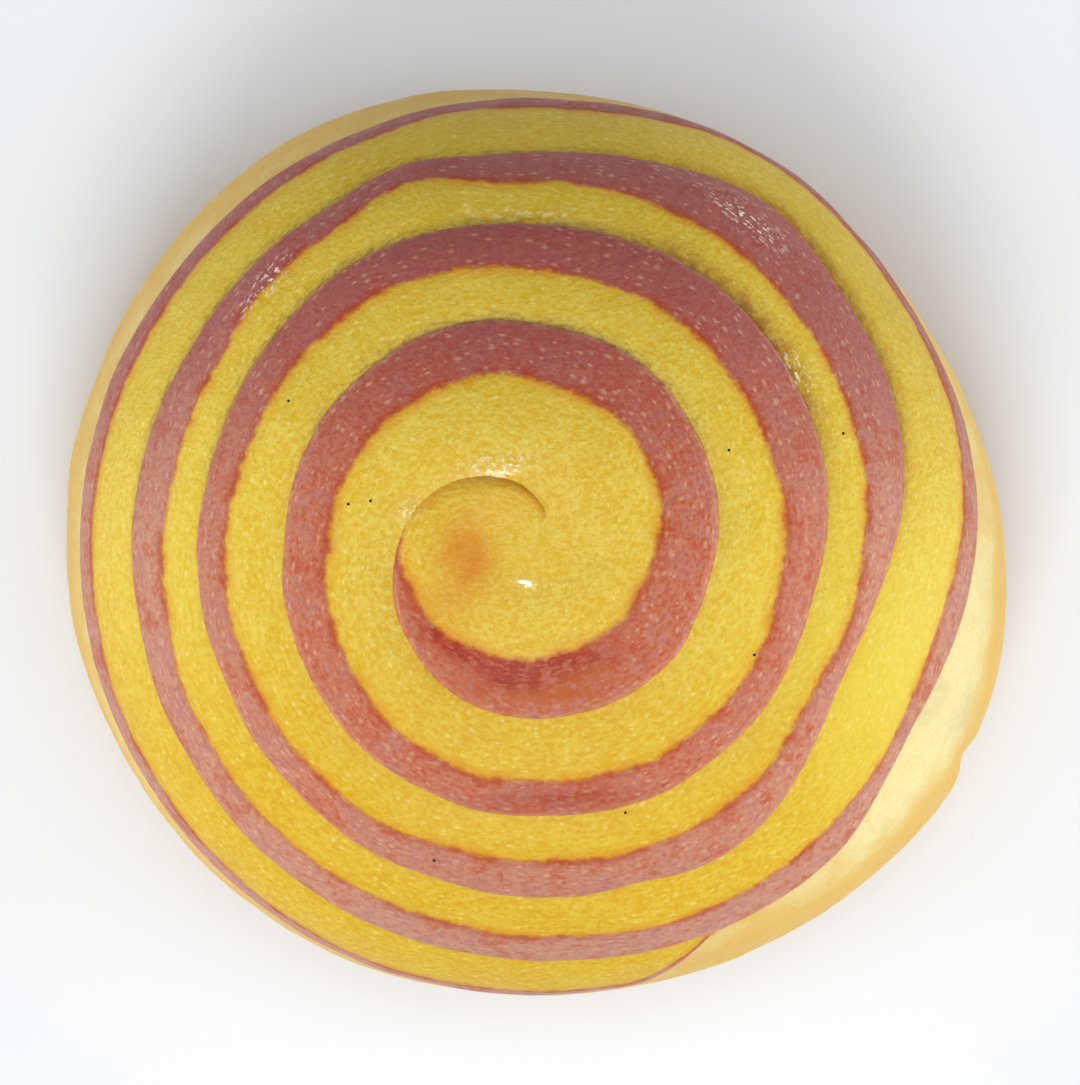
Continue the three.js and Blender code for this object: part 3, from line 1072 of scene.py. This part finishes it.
class Effect:
    """A node group that is built once and placed in each material that uses it."""

    NAME = "effect"
    INPUTS: tuple[tuple[str, str], ...] = ()
    OUTPUTS: tuple[tuple[str, str], ...] = ()

    def group(self) -> bpy.types.NodeTree:
        """The effect's node group, built the first time it is asked for."""
        known = bpy.data.node_groups.get(self.NAME)
        if known:
            return known
        tree = bpy.data.node_groups.new(self.NAME, "ShaderNodeTree")
        for way, sockets in (("INPUT", self.INPUTS), ("OUTPUT", self.OUTPUTS)):
            for name, kind in sockets:
                tree.interface.new_socket(name, in_out=way, socket_type=kind)
        source = tree.nodes.new("NodeGroupInput").outputs
        result = tree.nodes.new("NodeGroupOutput").inputs
        self.draw(NodeSketch(tree), source, result)
        return tree

    def draw(self, sketch: NodeSketch, source: object, result: object) -> None:
        """Draws the nodes of the effect between its inputs and outputs."""
        raise NotImplementedError

    def place(self, sketch: NodeSketch, **values: object) -> bpy.types.Node:
        """Places the effect in a material.

        Args:
            sketch: The material's nodes.
            values: A value or a socket for inputs, with _ for each space in their names.

        Returns:
            The group node.
        """
        node = sketch.node("ShaderNodeGroup", node_tree=self.group())
        for name, value in values.items():
            sketch.feed(node.inputs[name.replace("_", " ")], value)
        return node


class CrumbGrain(Effect):
    """The unevenness of baked dough at three sizes: grain, mottle and blotches."""

    NAME = "crumb grain"
    INPUTS = (("Place", VECTOR),)
    OUTPUTS = (("Grain", FLOAT), ("Mottle", FLOAT), ("Blotches", FLOAT))
    PER_METRE = (1900.0, 720.0, 250.0)
    DETAILS = (1.0, 2.0, 2.0)
    ROUGHNESS = 0.6
    CONTRAST = (0.3, 0.7)

    def draw(self, sketch: NodeSketch, source: object, result: object) -> None:
        """Draws one noise for each size."""
        for (name, _), scale, detail in zip(self.OUTPUTS, self.PER_METRE, self.DETAILS):
            noise = sketch.noise(source["Place"], scale, detail, self.ROUGHNESS)
            sketch.feed(result[name], sketch.ramp(noise, *self.CONTRAST))


class DoughFibres(Effect):
    """Short streaks that run along the strip, from dough pulled while it was rolled."""

    NAME = "dough fibres"
    INPUTS = (("Strip", VECTOR), ("Along", FLOAT), ("Across", FLOAT))
    OUTPUTS = (("Streaks", FLOAT),)
    DETAIL = 2.0
    ROUGHNESS = 0.65
    CONTRAST = (0.32, 0.68)

    def draw(self, sketch: NodeSketch, source: object, result: object) -> None:
        """Draws a noise that is drawn out along the strip."""
        drawn = sketch.stretched(source["Strip"], source["Along"], source["Across"])
        streaks = sketch.noise(drawn, 1.0, self.DETAIL, self.ROUGHNESS, "2D")
        sketch.feed(result["Streaks"], sketch.ramp(streaks, *self.CONTRAST))


class PaleBlisters(Effect):
    """Small pale dashes along the strip, where the skin of the dough blistered."""

    NAME = "pale blisters"
    INPUTS = (("Strip", VECTOR), ("Along", FLOAT), ("Across", FLOAT), ("Share", FLOAT))
    OUTPUTS = (("Mask", FLOAT),)
    LEAST_REACH = 0.22
    REACH_SPREAD = 0.26
    SOFT_FROM = 0.1

    def draw(self, sketch: NodeSketch, source: object, result: object) -> None:
        """Draws one soft long dash in some of the cells of a stretched pattern."""
        drawn = sketch.stretched(source["Strip"], source["Along"], source["Across"])
        distance, chance, size = sketch.cells(drawn, 1.0, "2D")
        reach = sketch.math("MULTIPLY_ADD", size, self.REACH_SPREAD, self.LEAST_REACH)
        away = sketch.math("DIVIDE", distance, reach)
        dash = sketch.ramp(away, self.SOFT_FROM, 1.0, 1.0, 0.0)
        kept = sketch.math("LESS_THAN", chance, source["Share"])
        sketch.feed(result["Mask"], sketch.math("MULTIPLY", dash, kept))


class SeedSpecks(Effect):
    """Sparse tiny specks, scattered by chance."""

    NAME = "seed specks"
    INPUTS = (("Place", VECTOR), ("Per Metre", FLOAT), ("Size", FLOAT), ("Share", FLOAT))
    OUTPUTS = (("Mask", FLOAT),)
    SOFT_FROM = 0.6

    def draw(self, sketch: NodeSketch, source: object, result: object) -> None:
        """Draws small dots round scattered points, and keeps a share of them."""
        distance, chance, _ = sketch.cells(source["Place"], source["Per Metre"])
        away = sketch.math("DIVIDE", distance, source["Size"])
        dot = sketch.ramp(away, self.SOFT_FROM, 1.0, 1.0, 0.0)
        kept = sketch.math("LESS_THAN", chance, source["Share"])
        sketch.feed(result["Mask"], sketch.math("MULTIPLY", dot, kept))


class BurntSeeds(Effect):
    """The few black specks that stand out, each at its own place."""

    NAME = "burnt seeds"
    INPUTS = (("Place", VECTOR),)
    OUTPUTS = (("Mask", FLOAT),)
    PLACES_MM = (
        (18.2, 8.7), (29.3, 10.4), (-23.4, 13.4), (-17.6, 3.6), (-15.5, 3.9),
        (8.5, -25.6), (-9.7, -30.3), (20.6, -10.6),
    )
    RADIUS_MM = 0.17
    SOFT_FROM = 0.7

    def draw(self, sketch: NodeSketch, source: object, result: object) -> None:
        """Draws a dot round each place, seen from above."""
        flat = sketch.scaled(source["Place"], (1.0, 1.0, 0.0))
        nearest = None
        for east, north in self.PLACES_MM:
            gap = sketch.node("ShaderNodeVectorMath", operation="DISTANCE")
            sketch.feed(gap.inputs[0], flat)
            sketch.feed(gap.inputs[1], (east * MM, north * MM, 0.0))
            away = gap.outputs["Value"]
            nearest = away if nearest is None else sketch.math("MINIMUM", nearest, away)
        radius = self.RADIUS_MM * MM
        dot = sketch.ramp(nearest, self.SOFT_FROM * radius, radius, 1.0, 0.0)
        sketch.feed(result["Mask"], dot)


class BorderBleed(Effect):
    """Where the pink and the yellow meet: a ragged line with an orange fringe.

    The lengths are millimetres out from the line, into the pink.
    """

    NAME = "border bleed"
    INPUTS = (("From Border", FLOAT), ("Grain", FLOAT), ("Mottle", FLOAT), ("Blotches", FLOAT))
    OUTPUTS = (("Pink", FLOAT), ("Red Edge", FLOAT), ("Orange Edge", FLOAT))
    GRAIN_SHIFT = 0.16
    MOTTLE_SHIFT = 0.30
    PINK_BEGINS = (-0.30, 0.45)
    RED_ENDS: Ramp = (0.15, 1.25, 1.0, 0.0)
    RED_STRENGTH: Ramp = (0.15, 0.75, 0.25, 1.0)
    ORANGE_BEGINS = (-1.35, 0.10)
    ORANGE_STRENGTH: Ramp = (0.2, 0.8, 0.25, 1.0)

    def draw(self, sketch: NodeSketch, source: object, result: object) -> None:
        """Shifts the border by noise and draws soft bands on either side of it."""
        place = source["From Border"]
        place = sketch.math("MULTIPLY_ADD", source["Grain"], self.GRAIN_SHIFT, place)
        place = sketch.math("MULTIPLY_ADD", source["Mottle"], self.MOTTLE_SHIFT, place)
        sketch.feed(result["Pink"], sketch.ramp(place, *self.PINK_BEGINS))
        red = sketch.ramp(place, *self.RED_ENDS)
        strong = sketch.ramp(source["Blotches"], *self.RED_STRENGTH)
        sketch.feed(result["Red Edge"], sketch.math("MULTIPLY", red, strong))
        orange = sketch.ramp(place, *self.ORANGE_BEGINS)
        patchy = sketch.ramp(source["Blotches"], *self.ORANGE_STRENGTH)
        sketch.feed(result["Orange Edge"], sketch.math("MULTIPLY", orange, patchy))


# ---- Finishes ----------------------------------------------------------------------------


@dataclass(frozen=True)
class Dashes:
    """How the pale blisters lie: their number each way per mm, their share and strength."""

    along: float
    across: float
    share: float
    strength: float


class DoughMap:
    """What a finish reads: its sketch, the place, the strip and the shared unevenness."""

    STREAKS_ALONG = 0.65
    STREAKS_ACROSS = 2.6
    BREAK_RANGE = (0.15, 0.85)

    def __init__(self, sketch: NodeSketch) -> None:
        """Adds the nodes that every finish reads."""
        self.sketch = sketch
        self.place = sketch.node("ShaderNodeTexCoord").outputs["Object"]
        self.strip = sketch.node("ShaderNodeUVMap", uv_map=STRIP_MAP).outputs[0]
        crumb = CrumbGrain().place(sketch, Place=self.place)
        self.grain, self.mottle, self.blotches = crumb.outputs
        fibres = DoughFibres().place(
            sketch, Strip=self.strip, Along=self.STREAKS_ALONG, Across=self.STREAKS_ACROSS
        )
        self.streaks = fibres.outputs[0]

    def near(self, each: Field, reach: float, strength: float = 1.0) -> object:
        """A mask that is strong where a distance is small and gone past its reach."""
        return self.sketch.ramp(self.sketch.value(each), 0.0, reach, strength, 0.0)

    def times(self, *factors: object) -> object:
        """The product of masks and numbers."""
        product = factors[0]
        for factor in factors[1:]:
            product = self.sketch.math("MULTIPLY", product, factor)
        return product

    def sum_of(self, *parts: tuple[object, float]) -> object:
        """The sum of masks, each times its weight."""
        total = 0.0
        for mask, weight in parts:
            total = self.sketch.math("MULTIPLY_ADD", mask, weight, total)
        return total

    def rest_of(self, mask: object) -> object:
        """What a mask leaves of 1."""
        return self.sketch.math("SUBTRACT", 1.0, mask)

    def full(self, each: Field) -> object:
        """A stain's value, held at 1."""
        return self.sketch.math("MINIMUM", self.sketch.value(each), 1.0)

    def broken(self, mask: object, by: object, least: float) -> object:
        """A mask broken up by an unevenness, down to a least share of it."""
        return self.times(mask, self.sketch.ramp(by, *self.BREAK_RANGE, least, 1.0))

    def tint(self, mask: object, colour: object, tint: object, mode: str = "MIX") -> object:
        """A colour with a tint blended in where a mask is strong."""
        return self.sketch.blend(mask, colour, tint, mode)

    def blistered(self, colour: object, dashes: Dashes, pale: Colour) -> object:
        """A colour with pale blisters over it."""
        blisters = PaleBlisters().place(
            self.sketch, Strip=self.strip, Along=dashes.along, Across=dashes.across,
            Share=dashes.share,
        )
        return self.tint(self.times(blisters.outputs[0], dashes.strength), colour, pale)


@dataclass(frozen=True)
class YellowFinish:
    """The look of the yellow dough. Each reach is in millimetres."""

    light: Colour = (0.765, 0.585, 0.090, 1.0)
    deep: Colour = (0.70, 0.425, 0.013, 1.0)
    lemon: Colour = (0.75, 0.62, 0.07, 1.0)
    amber: Colour = (0.91, 0.80, 0.32, 1.0)  # laid on by multiplying
    # These four colours are painted shade: in the cracks by the creases, in the crown's fold,
    # over the far side, and along the creases.
    crack_shade: Colour = (0.30, 0.16, 0.045, 1.0)
    fold_shade: Colour = (0.60, 0.28, 0.02, 1.0)
    far_shade: Colour = (0.52, 0.38, 0.040, 1.0)
    shade: Colour = (0.46, 0.33, 0.07, 1.0)
    blush: Colour = (0.63, 0.19, 0.004, 1.0)
    pale: Colour = (0.86, 0.71, 0.22, 1.0)
    brown: Colour = (0.34, 0.14, 0.02, 1.0)

    blotch_weight: float = 0.18
    mottle_weight: float = 0.14
    grain_weight: float = 0.36
    streak_weight: float = 0.32
    tone_range: tuple[float, float] = (0.08, 0.92)
    near_amber: Ramp = (0.05, 0.42, 0.7, 0.0)
    crown_amber: float = 0.10
    far_shade_ramp: Ramp = (0.55, 0.9, 0.0, 0.34)
    lemon_strength: float = 0.6
    dashes: Dashes = Dashes(0.8, 1.8, 0.16, 0.5)
    shade_reach: float = 1.4
    shade_far: Ramp = (0.3, 0.9, 0.12, 0.6)
    shade_least: float = 0.3
    crack_reach: float = 1.3
    crack_far: Ramp = (0.45, 0.9, 0.05, 0.80)
    crack_streaks: Ramp = (0.0, 0.55, 1.0, 0.0)
    crack_strength: float = 0.75
    fold_reach: float = 1.8
    fold_strength: float = 0.75
    fold_turns: Ramp = (0.44, 0.50, 1.0, 0.0)
    peel_reach: float = 3.2
    peel_least: float = 0.5
    blush_least: float = 0.7

    def colour(self, dough: DoughMap) -> object:
        """The colour over the surface."""
        sketch = dough.sketch
        far_side, crown = sketch.value(Field.FAR_SIDE), sketch.value(Field.CROWN)
        tone = dough.sum_of(
            (dough.blotches, self.blotch_weight), (dough.mottle, self.mottle_weight),
            (dough.grain, self.grain_weight), (dough.streaks, self.streak_weight),
        )
        colour = sketch.blend(sketch.ramp(tone, *self.tone_range), self.deep, self.light)
        near = sketch.ramp(far_side, *self.near_amber)
        near = sketch.math("MULTIPLY_ADD", crown, self.crown_amber, near, clamp=True)
        colour = dough.tint(near, colour, self.amber, "MULTIPLY")
        # painted shade: the far side dulled and darker
        colour = dough.tint(sketch.ramp(far_side, *self.far_shade_ramp), colour, self.far_shade)
        lemon = dough.times(sketch.value(Field.LEMON), self.lemon_strength)
        colour = dough.tint(lemon, colour, self.lemon)
        colour = dough.blistered(colour, self.dashes, self.pale)
        colour = self._creases(dough, colour, far_side, dough.rest_of(crown))
        stain = dough.broken(sketch.value(Field.ORANGE), dough.blotches, self.blush_least)
        return dough.tint(stain, colour, self.blush)

    def _creases(self, dough: DoughMap, colour: object, far_side: object,
                 past_crown: object) -> object:
        """The colour with painted shade along the creases, shaded cracks and a warm painted shade
        in the crown's fold.
        """
        sketch = dough.sketch
        shade = sketch.ramp(far_side, *self.shade_far)
        shade = dough.times(dough.near(Field.FROM_CREASE, self.shade_reach), shade)
        shade = dough.broken(shade, dough.blotches, self.shade_least)
        colour = dough.tint(dough.times(shade, past_crown), colour, self.shade)
        # dark cracks by the crease, mostly on the far side: partly the cracks, partly painted
        # shade in them
        shaded_crack = dough.times(
            dough.near(Field.FROM_CREASE, self.crack_reach), past_crown,
            sketch.ramp(far_side, *self.crack_far),
            sketch.ramp(dough.streaks, *self.crack_streaks), self.crack_strength,
        )
        colour = dough.tint(shaded_crack, colour, self.crack_shade)
        early = sketch.ramp(sketch.value(Field.TURNS), *self.fold_turns)
        # painted shade: a warm brown-orange along the crown's crease, where it lies in shade
        fold_shade = dough.near(Field.TO_CREASE, self.fold_reach, self.fold_strength)
        colour = dough.tint(dough.times(fold_shade, early), colour, self.fold_shade)
        peeled = dough.near(Field.FROM_CREASE, self.peel_reach)
        peeled = dough.times(peeled, sketch.value(Field.PEEL))
        return dough.tint(dough.broken(peeled, dough.mottle, self.peel_least), colour, self.brown)


@dataclass(frozen=True)
class PinkFinish:
    """The look of the pink dough. Each reach is in millimetres."""

    inner: Colour = (0.46, 0.092, 0.034, 1.0)
    outer: Colour = (0.51, 0.215, 0.140, 1.0)
    pale: Colour = (0.72, 0.43, 0.28, 1.0)
    mauve: Colour = (0.42, 0.130, 0.110, 1.0)
    # painted shade for the far side: darker and more purple
    dusky_shade: Colour = (0.32, 0.058, 0.064, 1.0)
    red: Colour = (0.45, 0.065, 0.018, 1.0)
    edge: Colour = (0.40, 0.045, 0.006, 1.0)
    scorch: Colour = (0.33, 0.024, 0.006, 1.0)
    orange: Colour = (0.45, 0.095, 0.012, 1.0)

    outer_turns: tuple[float, float] = (0.8, 3.9)
    mauve_places: Ramp = (0.22, 0.5, 0.6, 0.0)
    red_places: Ramp = (0.5, 0.80, 0.0, 0.65)
    far_shade_dusk: Ramp = (0.45, 0.95, 0.0, 0.7)
    streak_paleness: float = 0.14
    grain_paleness: float = 0.19
    dusk_on_paleness: float = 0.9
    dashes: Dashes = Dashes(0.75, 1.5, 0.30, 0.46)
    # these two set a painted highlight along the lip's rounded edge
    lip_highlight_reach: float = 1.0
    lip_highlight_strength: float = 0.5
    orange_places: Ramp = (0.20, 0.60, 0.35, 0.95)
    scorch_places: Ramp = (0.24, 0.66, 0.30, 1.0)

    def colour(self, dough: DoughMap) -> object:
        """The colour over the surface, without its border with the yellow."""
        sketch = dough.sketch
        along = sketch.ramp(sketch.value(Field.TURNS), *self.outer_turns)
        colour = sketch.blend(along, self.inner, self.outer)
        patchy = dough.times(sketch.math("ADD", dough.blotches, dough.mottle), 0.5)
        colour = dough.tint(sketch.ramp(patchy, *self.mauve_places), colour, self.mauve)
        colour = dough.tint(sketch.ramp(patchy, *self.red_places), colour, self.red)
        # painted shade: the far side darker and more purple, and less pale
        far = sketch.ramp(sketch.value(Field.FAR_SIDE), *self.far_shade_dusk)
        colour = dough.tint(far, colour, self.dusky_shade)
        tone = dough.times(dough.streaks, dough.streaks, self.streak_paleness)
        tone = sketch.math("MULTIPLY_ADD", dough.grain, self.grain_paleness, tone)
        tone = dough.times(tone, dough.rest_of(dough.times(far, self.dusk_on_paleness)))
        colour = dough.tint(tone, colour, self.pale)
        colour = dough.blistered(colour, self.dashes, self.pale)
        # painted highlight: a paler rim along the lip's edge, broken by mottle
        rim = dough.near(Field.TO_CREASE, self.lip_highlight_reach, self.lip_highlight_strength)
        colour = dough.tint(dough.times(rim, dough.mottle), colour, self.pale)
        ragged = dough.times(sketch.math("ADD", dough.mottle, dough.streaks), 0.5)
        stained = sketch.ramp(ragged, *self.orange_places)
        colour = dough.tint(dough.times(dough.full(Field.ORANGE), stained), colour, self.orange)
        burnt = sketch.ramp(ragged, *self.scorch_places)
        return dough.tint(dough.times(dough.full(Field.SCORCH), burnt), colour, self.scorch)


@dataclass(frozen=True)
class PlainFinish:
    """The look of the plain dough: pale beside the strip and golden down the side."""

    cream: Colour = (0.80, 0.69, 0.32, 1.0)
    golden: Colour = (0.735, 0.455, 0.085, 1.0)
    baked: Colour = (0.50, 0.235, 0.05, 1.0)
    smudge: Colour = (0.50, 0.47, 0.27, 1.0)

    pale_blotches: float = 0.25
    pale_reach: float = 16.0
    pale_range: tuple[float, float] = (-0.1, 0.6)
    fine_gold: float = 0.3
    low_blotches: float = 0.2
    low_mottle: float = 0.12
    baked_range: tuple[float, float] = (0.3, 1.1)
    smudge_least: float = 0.45
    smudge_strength: float = 0.6

    def colour(self, dough: DoughMap) -> object:
        """The colour over the surface."""
        sketch = dough.sketch
        lemon = sketch.value(Field.LEMON)
        pale = sketch.math("MULTIPLY_ADD", dough.blotches, self.pale_blotches, lemon)
        spread = sketch.ramp(sketch.value(Field.FROM_CREASE), 0.0, self.pale_reach)
        pale = sketch.math("SUBTRACT", pale, spread)
        colour = sketch.blend(sketch.ramp(pale, *self.pale_range), self.golden, self.cream)
        fine = dough.times(dough.grain, dough.mottle, self.fine_gold)
        colour = dough.tint(fine, colour, self.golden)
        low = sketch.value(Field.LOW)
        low = sketch.math("MULTIPLY_ADD", dough.blotches, self.low_blotches, low)
        low = sketch.math("MULTIPLY_ADD", dough.mottle, self.low_mottle, low)
        colour = dough.tint(sketch.ramp(low, *self.baked_range), colour, self.baked)
        smudged = dough.broken(sketch.value(Field.GREY), dough.mottle, self.smudge_least)
        return dough.tint(dough.times(smudged, self.smudge_strength), colour, self.smudge)


@dataclass(frozen=True)
class Border:
    """How the pink and the yellow run into each other, and where that begins."""

    begins: tuple[float, float] = (0.47, 0.51)
    orange_strength: float = 0.55
    red_strength: float = 0.75
    under_yellow: Colour = (0.75, 0.52, 0.05, 1.0)
    under_pink: Colour = (0.48, 0.13, 0.045, 1.0)


@dataclass(frozen=True)
class Specks:
    """The tiny specks, the painted glint flecks and the black seeds on both bands."""

    per_metre: float = 420.0
    size: float = 0.09
    share: float = 0.06
    strength: float = 0.7
    colour: Colour = (0.50, 0.17, 0.02, 1.0)
    # The next two set the painted highlight: near-white flecks where glints fall.
    glint_range: tuple[float, float] = (0.40, 0.60)
    glint: Colour = (0.92, 0.84, 0.74, 1.0)
    black: Colour = (0.012, 0.010, 0.008, 1.0)

    def over(self, dough: DoughMap, colour: object) -> object:
        """A colour with the specks over it."""
        sketch = dough.sketch
        seeds = SeedSpecks().place(sketch, Place=dough.place, Per_Metre=self.per_metre,
                                   Size=self.size, Share=self.share)
        colour = dough.tint(dough.times(seeds.outputs[0], self.strength), colour, self.colour)
        # painted highlight: near-white flecks where glints fall
        glint_spots = sketch.ramp(dough.times(dough.streaks, dough.grain), *self.glint_range)
        glint_spots = dough.times(glint_spots, sketch.value(Field.PAINTED_GLINTS))
        colour = dough.tint(glint_spots, colour, self.glint)
        burnt = BurntSeeds().place(sketch, Place=dough.place)
        return dough.tint(burnt.outputs[0], colour, self.black)


@dataclass(frozen=True)
class Bake:
    """The gloss and the fine relief that all three doughs share."""

    rough: tuple[float, float] = (0.46, 0.60)
    crown_rough: float = 0.44
    coat: tuple[float, float] = (0.0, 0.02)
    coat_rough: tuple[float, float] = (0.14, 0.05)
    fully_wet: float = 0.6
    specular: float = 0.22
    relief_distance: float = 0.00010
    relief_strength: float = 0.4
    mottle_relief: float = 0.8
    glint_relief: float = 4.0

    def dress(self, dough: DoughMap, shader: bpy.types.Node) -> None:
        """Sets a shader's roughness, grain and gloss."""
        sketch = dough.sketch
        height = sketch.math("MULTIPLY_ADD", dough.mottle, self.mottle_relief, dough.grain)
        # bumps under the painted glints
        glint_spots = dough.times(dough.mottle, sketch.value(Field.PAINTED_GLINTS))
        height = sketch.math("MULTIPLY_ADD", glint_spots, self.glint_relief, height)
        relief = sketch.node("ShaderNodeBump")
        relief.inputs["Strength"].default_value = self.relief_strength
        relief.inputs["Distance"].default_value = self.relief_distance
        sketch.feed(relief.inputs["Height"], height)
        sketch.feed(shader.inputs["Normal"], relief.outputs[0])
        crown, wet = sketch.value(Field.CROWN), sketch.value(Field.WET)
        mixed = sketch.node("ShaderNodeMix", data_type="FLOAT")
        sketch.feed(mixed.inputs[0], crown)
        sketch.feed(mixed.inputs[2], sketch.ramp(dough.blotches, 0.0, 1.0, *self.rough))
        sketch.feed(mixed.inputs[3], self.crown_rough)
        sketch.feed(shader.inputs["Roughness"], mixed.outputs[0])
        glaze = sketch.math("ADD", sketch.ramp(crown, 0.0, 1.0, *self.coat), wet, clamp=True)
        sketch.feed(shader.inputs["Coat Weight"], glaze)
        clear = sketch.ramp(wet, 0.0, self.fully_wet, *self.coat_rough)
        sketch.feed(shader.inputs["Coat Roughness"], clear)
        shader.inputs["Specular IOR Level"].default_value = self.specular


@dataclass(frozen=True)
class DoughMaterial:
    """Builds the material of each dough from its finish."""

    yellow: YellowFinish = YellowFinish()
    pink: PinkFinish = PinkFinish()
    plain: PlainFinish = PlainFinish()
    border: Border = Border()
    specks: Specks = Specks()
    bake: Bake = Bake()

    def make(self, kind: Dough) -> bpy.types.Material:
        """The material of one dough.

        Args:
            kind: Which dough to make it for.

        Returns:
            The finished material.
        """
        material = bpy.data.materials.new(kind.value)
        material.use_nodes = True
        shader = material.node_tree.nodes["Principled BSDF"]
        dough = DoughMap(NodeSketch(material.node_tree))
        if kind is Dough.PLAIN:
            colour = self.plain.colour(dough)
        else:
            colour = self.specks.over(dough, self._strip_colour(dough, kind))
        dough.sketch.feed(shader.inputs["Base Color"], colour)
        self.bake.dress(dough, shader)
        return material

    def _strip_colour(self, dough: DoughMap, kind: Dough) -> object:
        """One band's colour, with a rim of the other's where they meet at a ragged line."""
        sketch, border = dough.sketch, self.border
        bleed = BorderBleed().place(
            sketch, From_Border=sketch.value(Field.FROM_BORDER), Grain=dough.grain,
            Mottle=dough.mottle, Blotches=dough.blotches,
        )
        is_pink, red_edge, orange_edge = bleed.outputs
        yellow = self.yellow.colour(dough) if kind is Dough.YELLOW else border.under_yellow
        pink = self.pink.colour(dough) if kind is Dough.PINK else border.under_pink
        begun = sketch.ramp(sketch.value(Field.TURNS), *border.begins)
        orange = dough.times(orange_edge, begun, border.orange_strength)
        yellow = dough.tint(orange, yellow, self.yellow.blush)
        red = dough.times(red_edge, border.red_strength)
        pink = dough.tint(red, pink, self.pink.edge)
        return sketch.blend(dough.times(is_pink, begun), yellow, pink)


# ---- The bun -----------------------------------------------------------------------------


@dataclass
class Brioche:
    """The whole bun, dressed."""

    surface: DoughSurface = field(default_factory=DoughSurface)
    materials: DoughMaterial = DoughMaterial()

    def build(self) -> None:
        """Builds, dresses and places the three doughs."""
        rows = StripRows(self.surface)
        makers = {
            Dough.PLAIN: PlainBody(self.surface),
            Dough.YELLOW: YellowBand(self.surface, rows),
            Dough.PINK: PinkBand(self.surface, rows),
        }
        for dough, maker in makers.items():
            piece = maker.build()
            piece.data.materials.append(self.materials.make(dough))
            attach(piece, "root")
            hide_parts(dough.value)
            LOG.info("%s: %d faces", piece.name, len(piece.data.polygons))


# ---- The studio --------------------------------------------------------------------------


@dataclass(frozen=True)
class SoftLight:
    """A rectangular light that faces the bun, with its power in watts."""

    name: str
    place: tuple[float, float, float]
    width: float
    depth: float
    power: float
    aim: tuple[float, float, float] = (0.0, 0.0, 0.02)

    def hang(self) -> None:
        """Hangs the light at its place and turns it to its aim."""
        light = bpy.data.lights.new(self.name, "AREA")
        light.shape = "RECTANGLE"
        light.size, light.size_y, light.energy = self.width, self.depth, self.power
        lamp = bpy.data.objects.new(self.name, light)
        lamp.location = self.place
        aim = Vector(self.aim) - lamp.location
        lamp.rotation_euler = aim.to_track_quat("-Z", "Y").to_euler()
        bpy.context.scene.collection.objects.link(lamp)


@dataclass
class Studio:
    """The floor, the soft lights and the camera straight above the bun."""

    camera_height: float = 0.6
    focus_level: float = 0.014
    picture_width: float = 0.108
    picture_middle: tuple[float, float] = (0.0004, 0.0)
    sensor_width: float = 36.0
    floor_side: float = 3.0
    floor_colour: Colour = (0.865, 0.895, 0.93, 1.0)
    floor_roughness: float = 0.7
    sky_colour: Colour = (0.84, 0.92, 1.0, 1.0)
    sky_strength: float = 0.20
    lights: tuple[SoftLight, ...] = (
        SoftLight("over", (0.0, 0.0, 0.80), 0.80, 0.80, 2.75),
        SoftLight("near window", (-0.04, -0.42, 0.55), 0.34, 0.24, 2.2),
        SoftLight("left window", (-0.80, 0.0, 0.15), 0.60, 0.30, 2.9),
        SoftLight("right window", (0.80, 0.0, 0.15), 0.60, 0.30, 3.8),
        SoftLight("lamp", (-0.003, 0.082, 0.62), 0.020, 0.009, 0.05),
    )

    def build(self) -> None:
        """Sets out the floor, the lights and the camera."""
        self._floor()
        self._sky()
        for light in self.lights:
            light.hang()
        self._camera()

    def _floor(self) -> None:
        """A plain pale floor."""
        half = self.floor_side / 2
        corners = [(-half, -half, 0), (half, -half, 0), (half, half, 0), (-half, half, 0)]
        mesh = bpy.data.meshes.new("floor")
        mesh.from_pydata(corners, [], [(0, 1, 2, 3)])
        floor = bpy.data.objects.new("floor", mesh)
        bpy.context.scene.collection.objects.link(floor)
        paint = bpy.data.materials.new("floor")
        paint.use_nodes = True
        shader = paint.node_tree.nodes["Principled BSDF"]
        shader.inputs["Base Color"].default_value = self.floor_colour
        shader.inputs["Roughness"].default_value = self.floor_roughness
        mesh.materials.append(paint)

    def _sky(self) -> None:
        """A faint even light from all round."""
        world = bpy.data.worlds.new("sky")
        world.use_nodes = True
        background = world.node_tree.nodes["Background"]
        background.inputs["Color"].default_value = self.sky_colour
        background.inputs["Strength"].default_value = self.sky_strength
        bpy.context.scene.world = world

    def _camera(self) -> None:
        """A camera that looks straight down, with +Y up in the picture."""
        camera = bpy.data.cameras.new("camera")
        camera.sensor_fit = "HORIZONTAL"
        camera.sensor_width = self.sensor_width
        distance = self.camera_height - self.focus_level
        camera.lens = self.sensor_width * distance / self.picture_width
        camera.dof.use_dof = False
        eye = bpy.data.objects.new("camera", camera)
        eye.location = (*self.picture_middle, self.camera_height)
        bpy.context.scene.collection.objects.link(eye)
        bpy.context.scene.camera = eye


def main() -> None:
    """Builds the bun and its studio."""
    logging.basicConfig(level=logging.INFO)
    Studio().build()
    Brioche().build()
    view = bpy.context.scene.view_settings
    view.view_transform = "Standard"


if __name__ == "__main__":
    main()
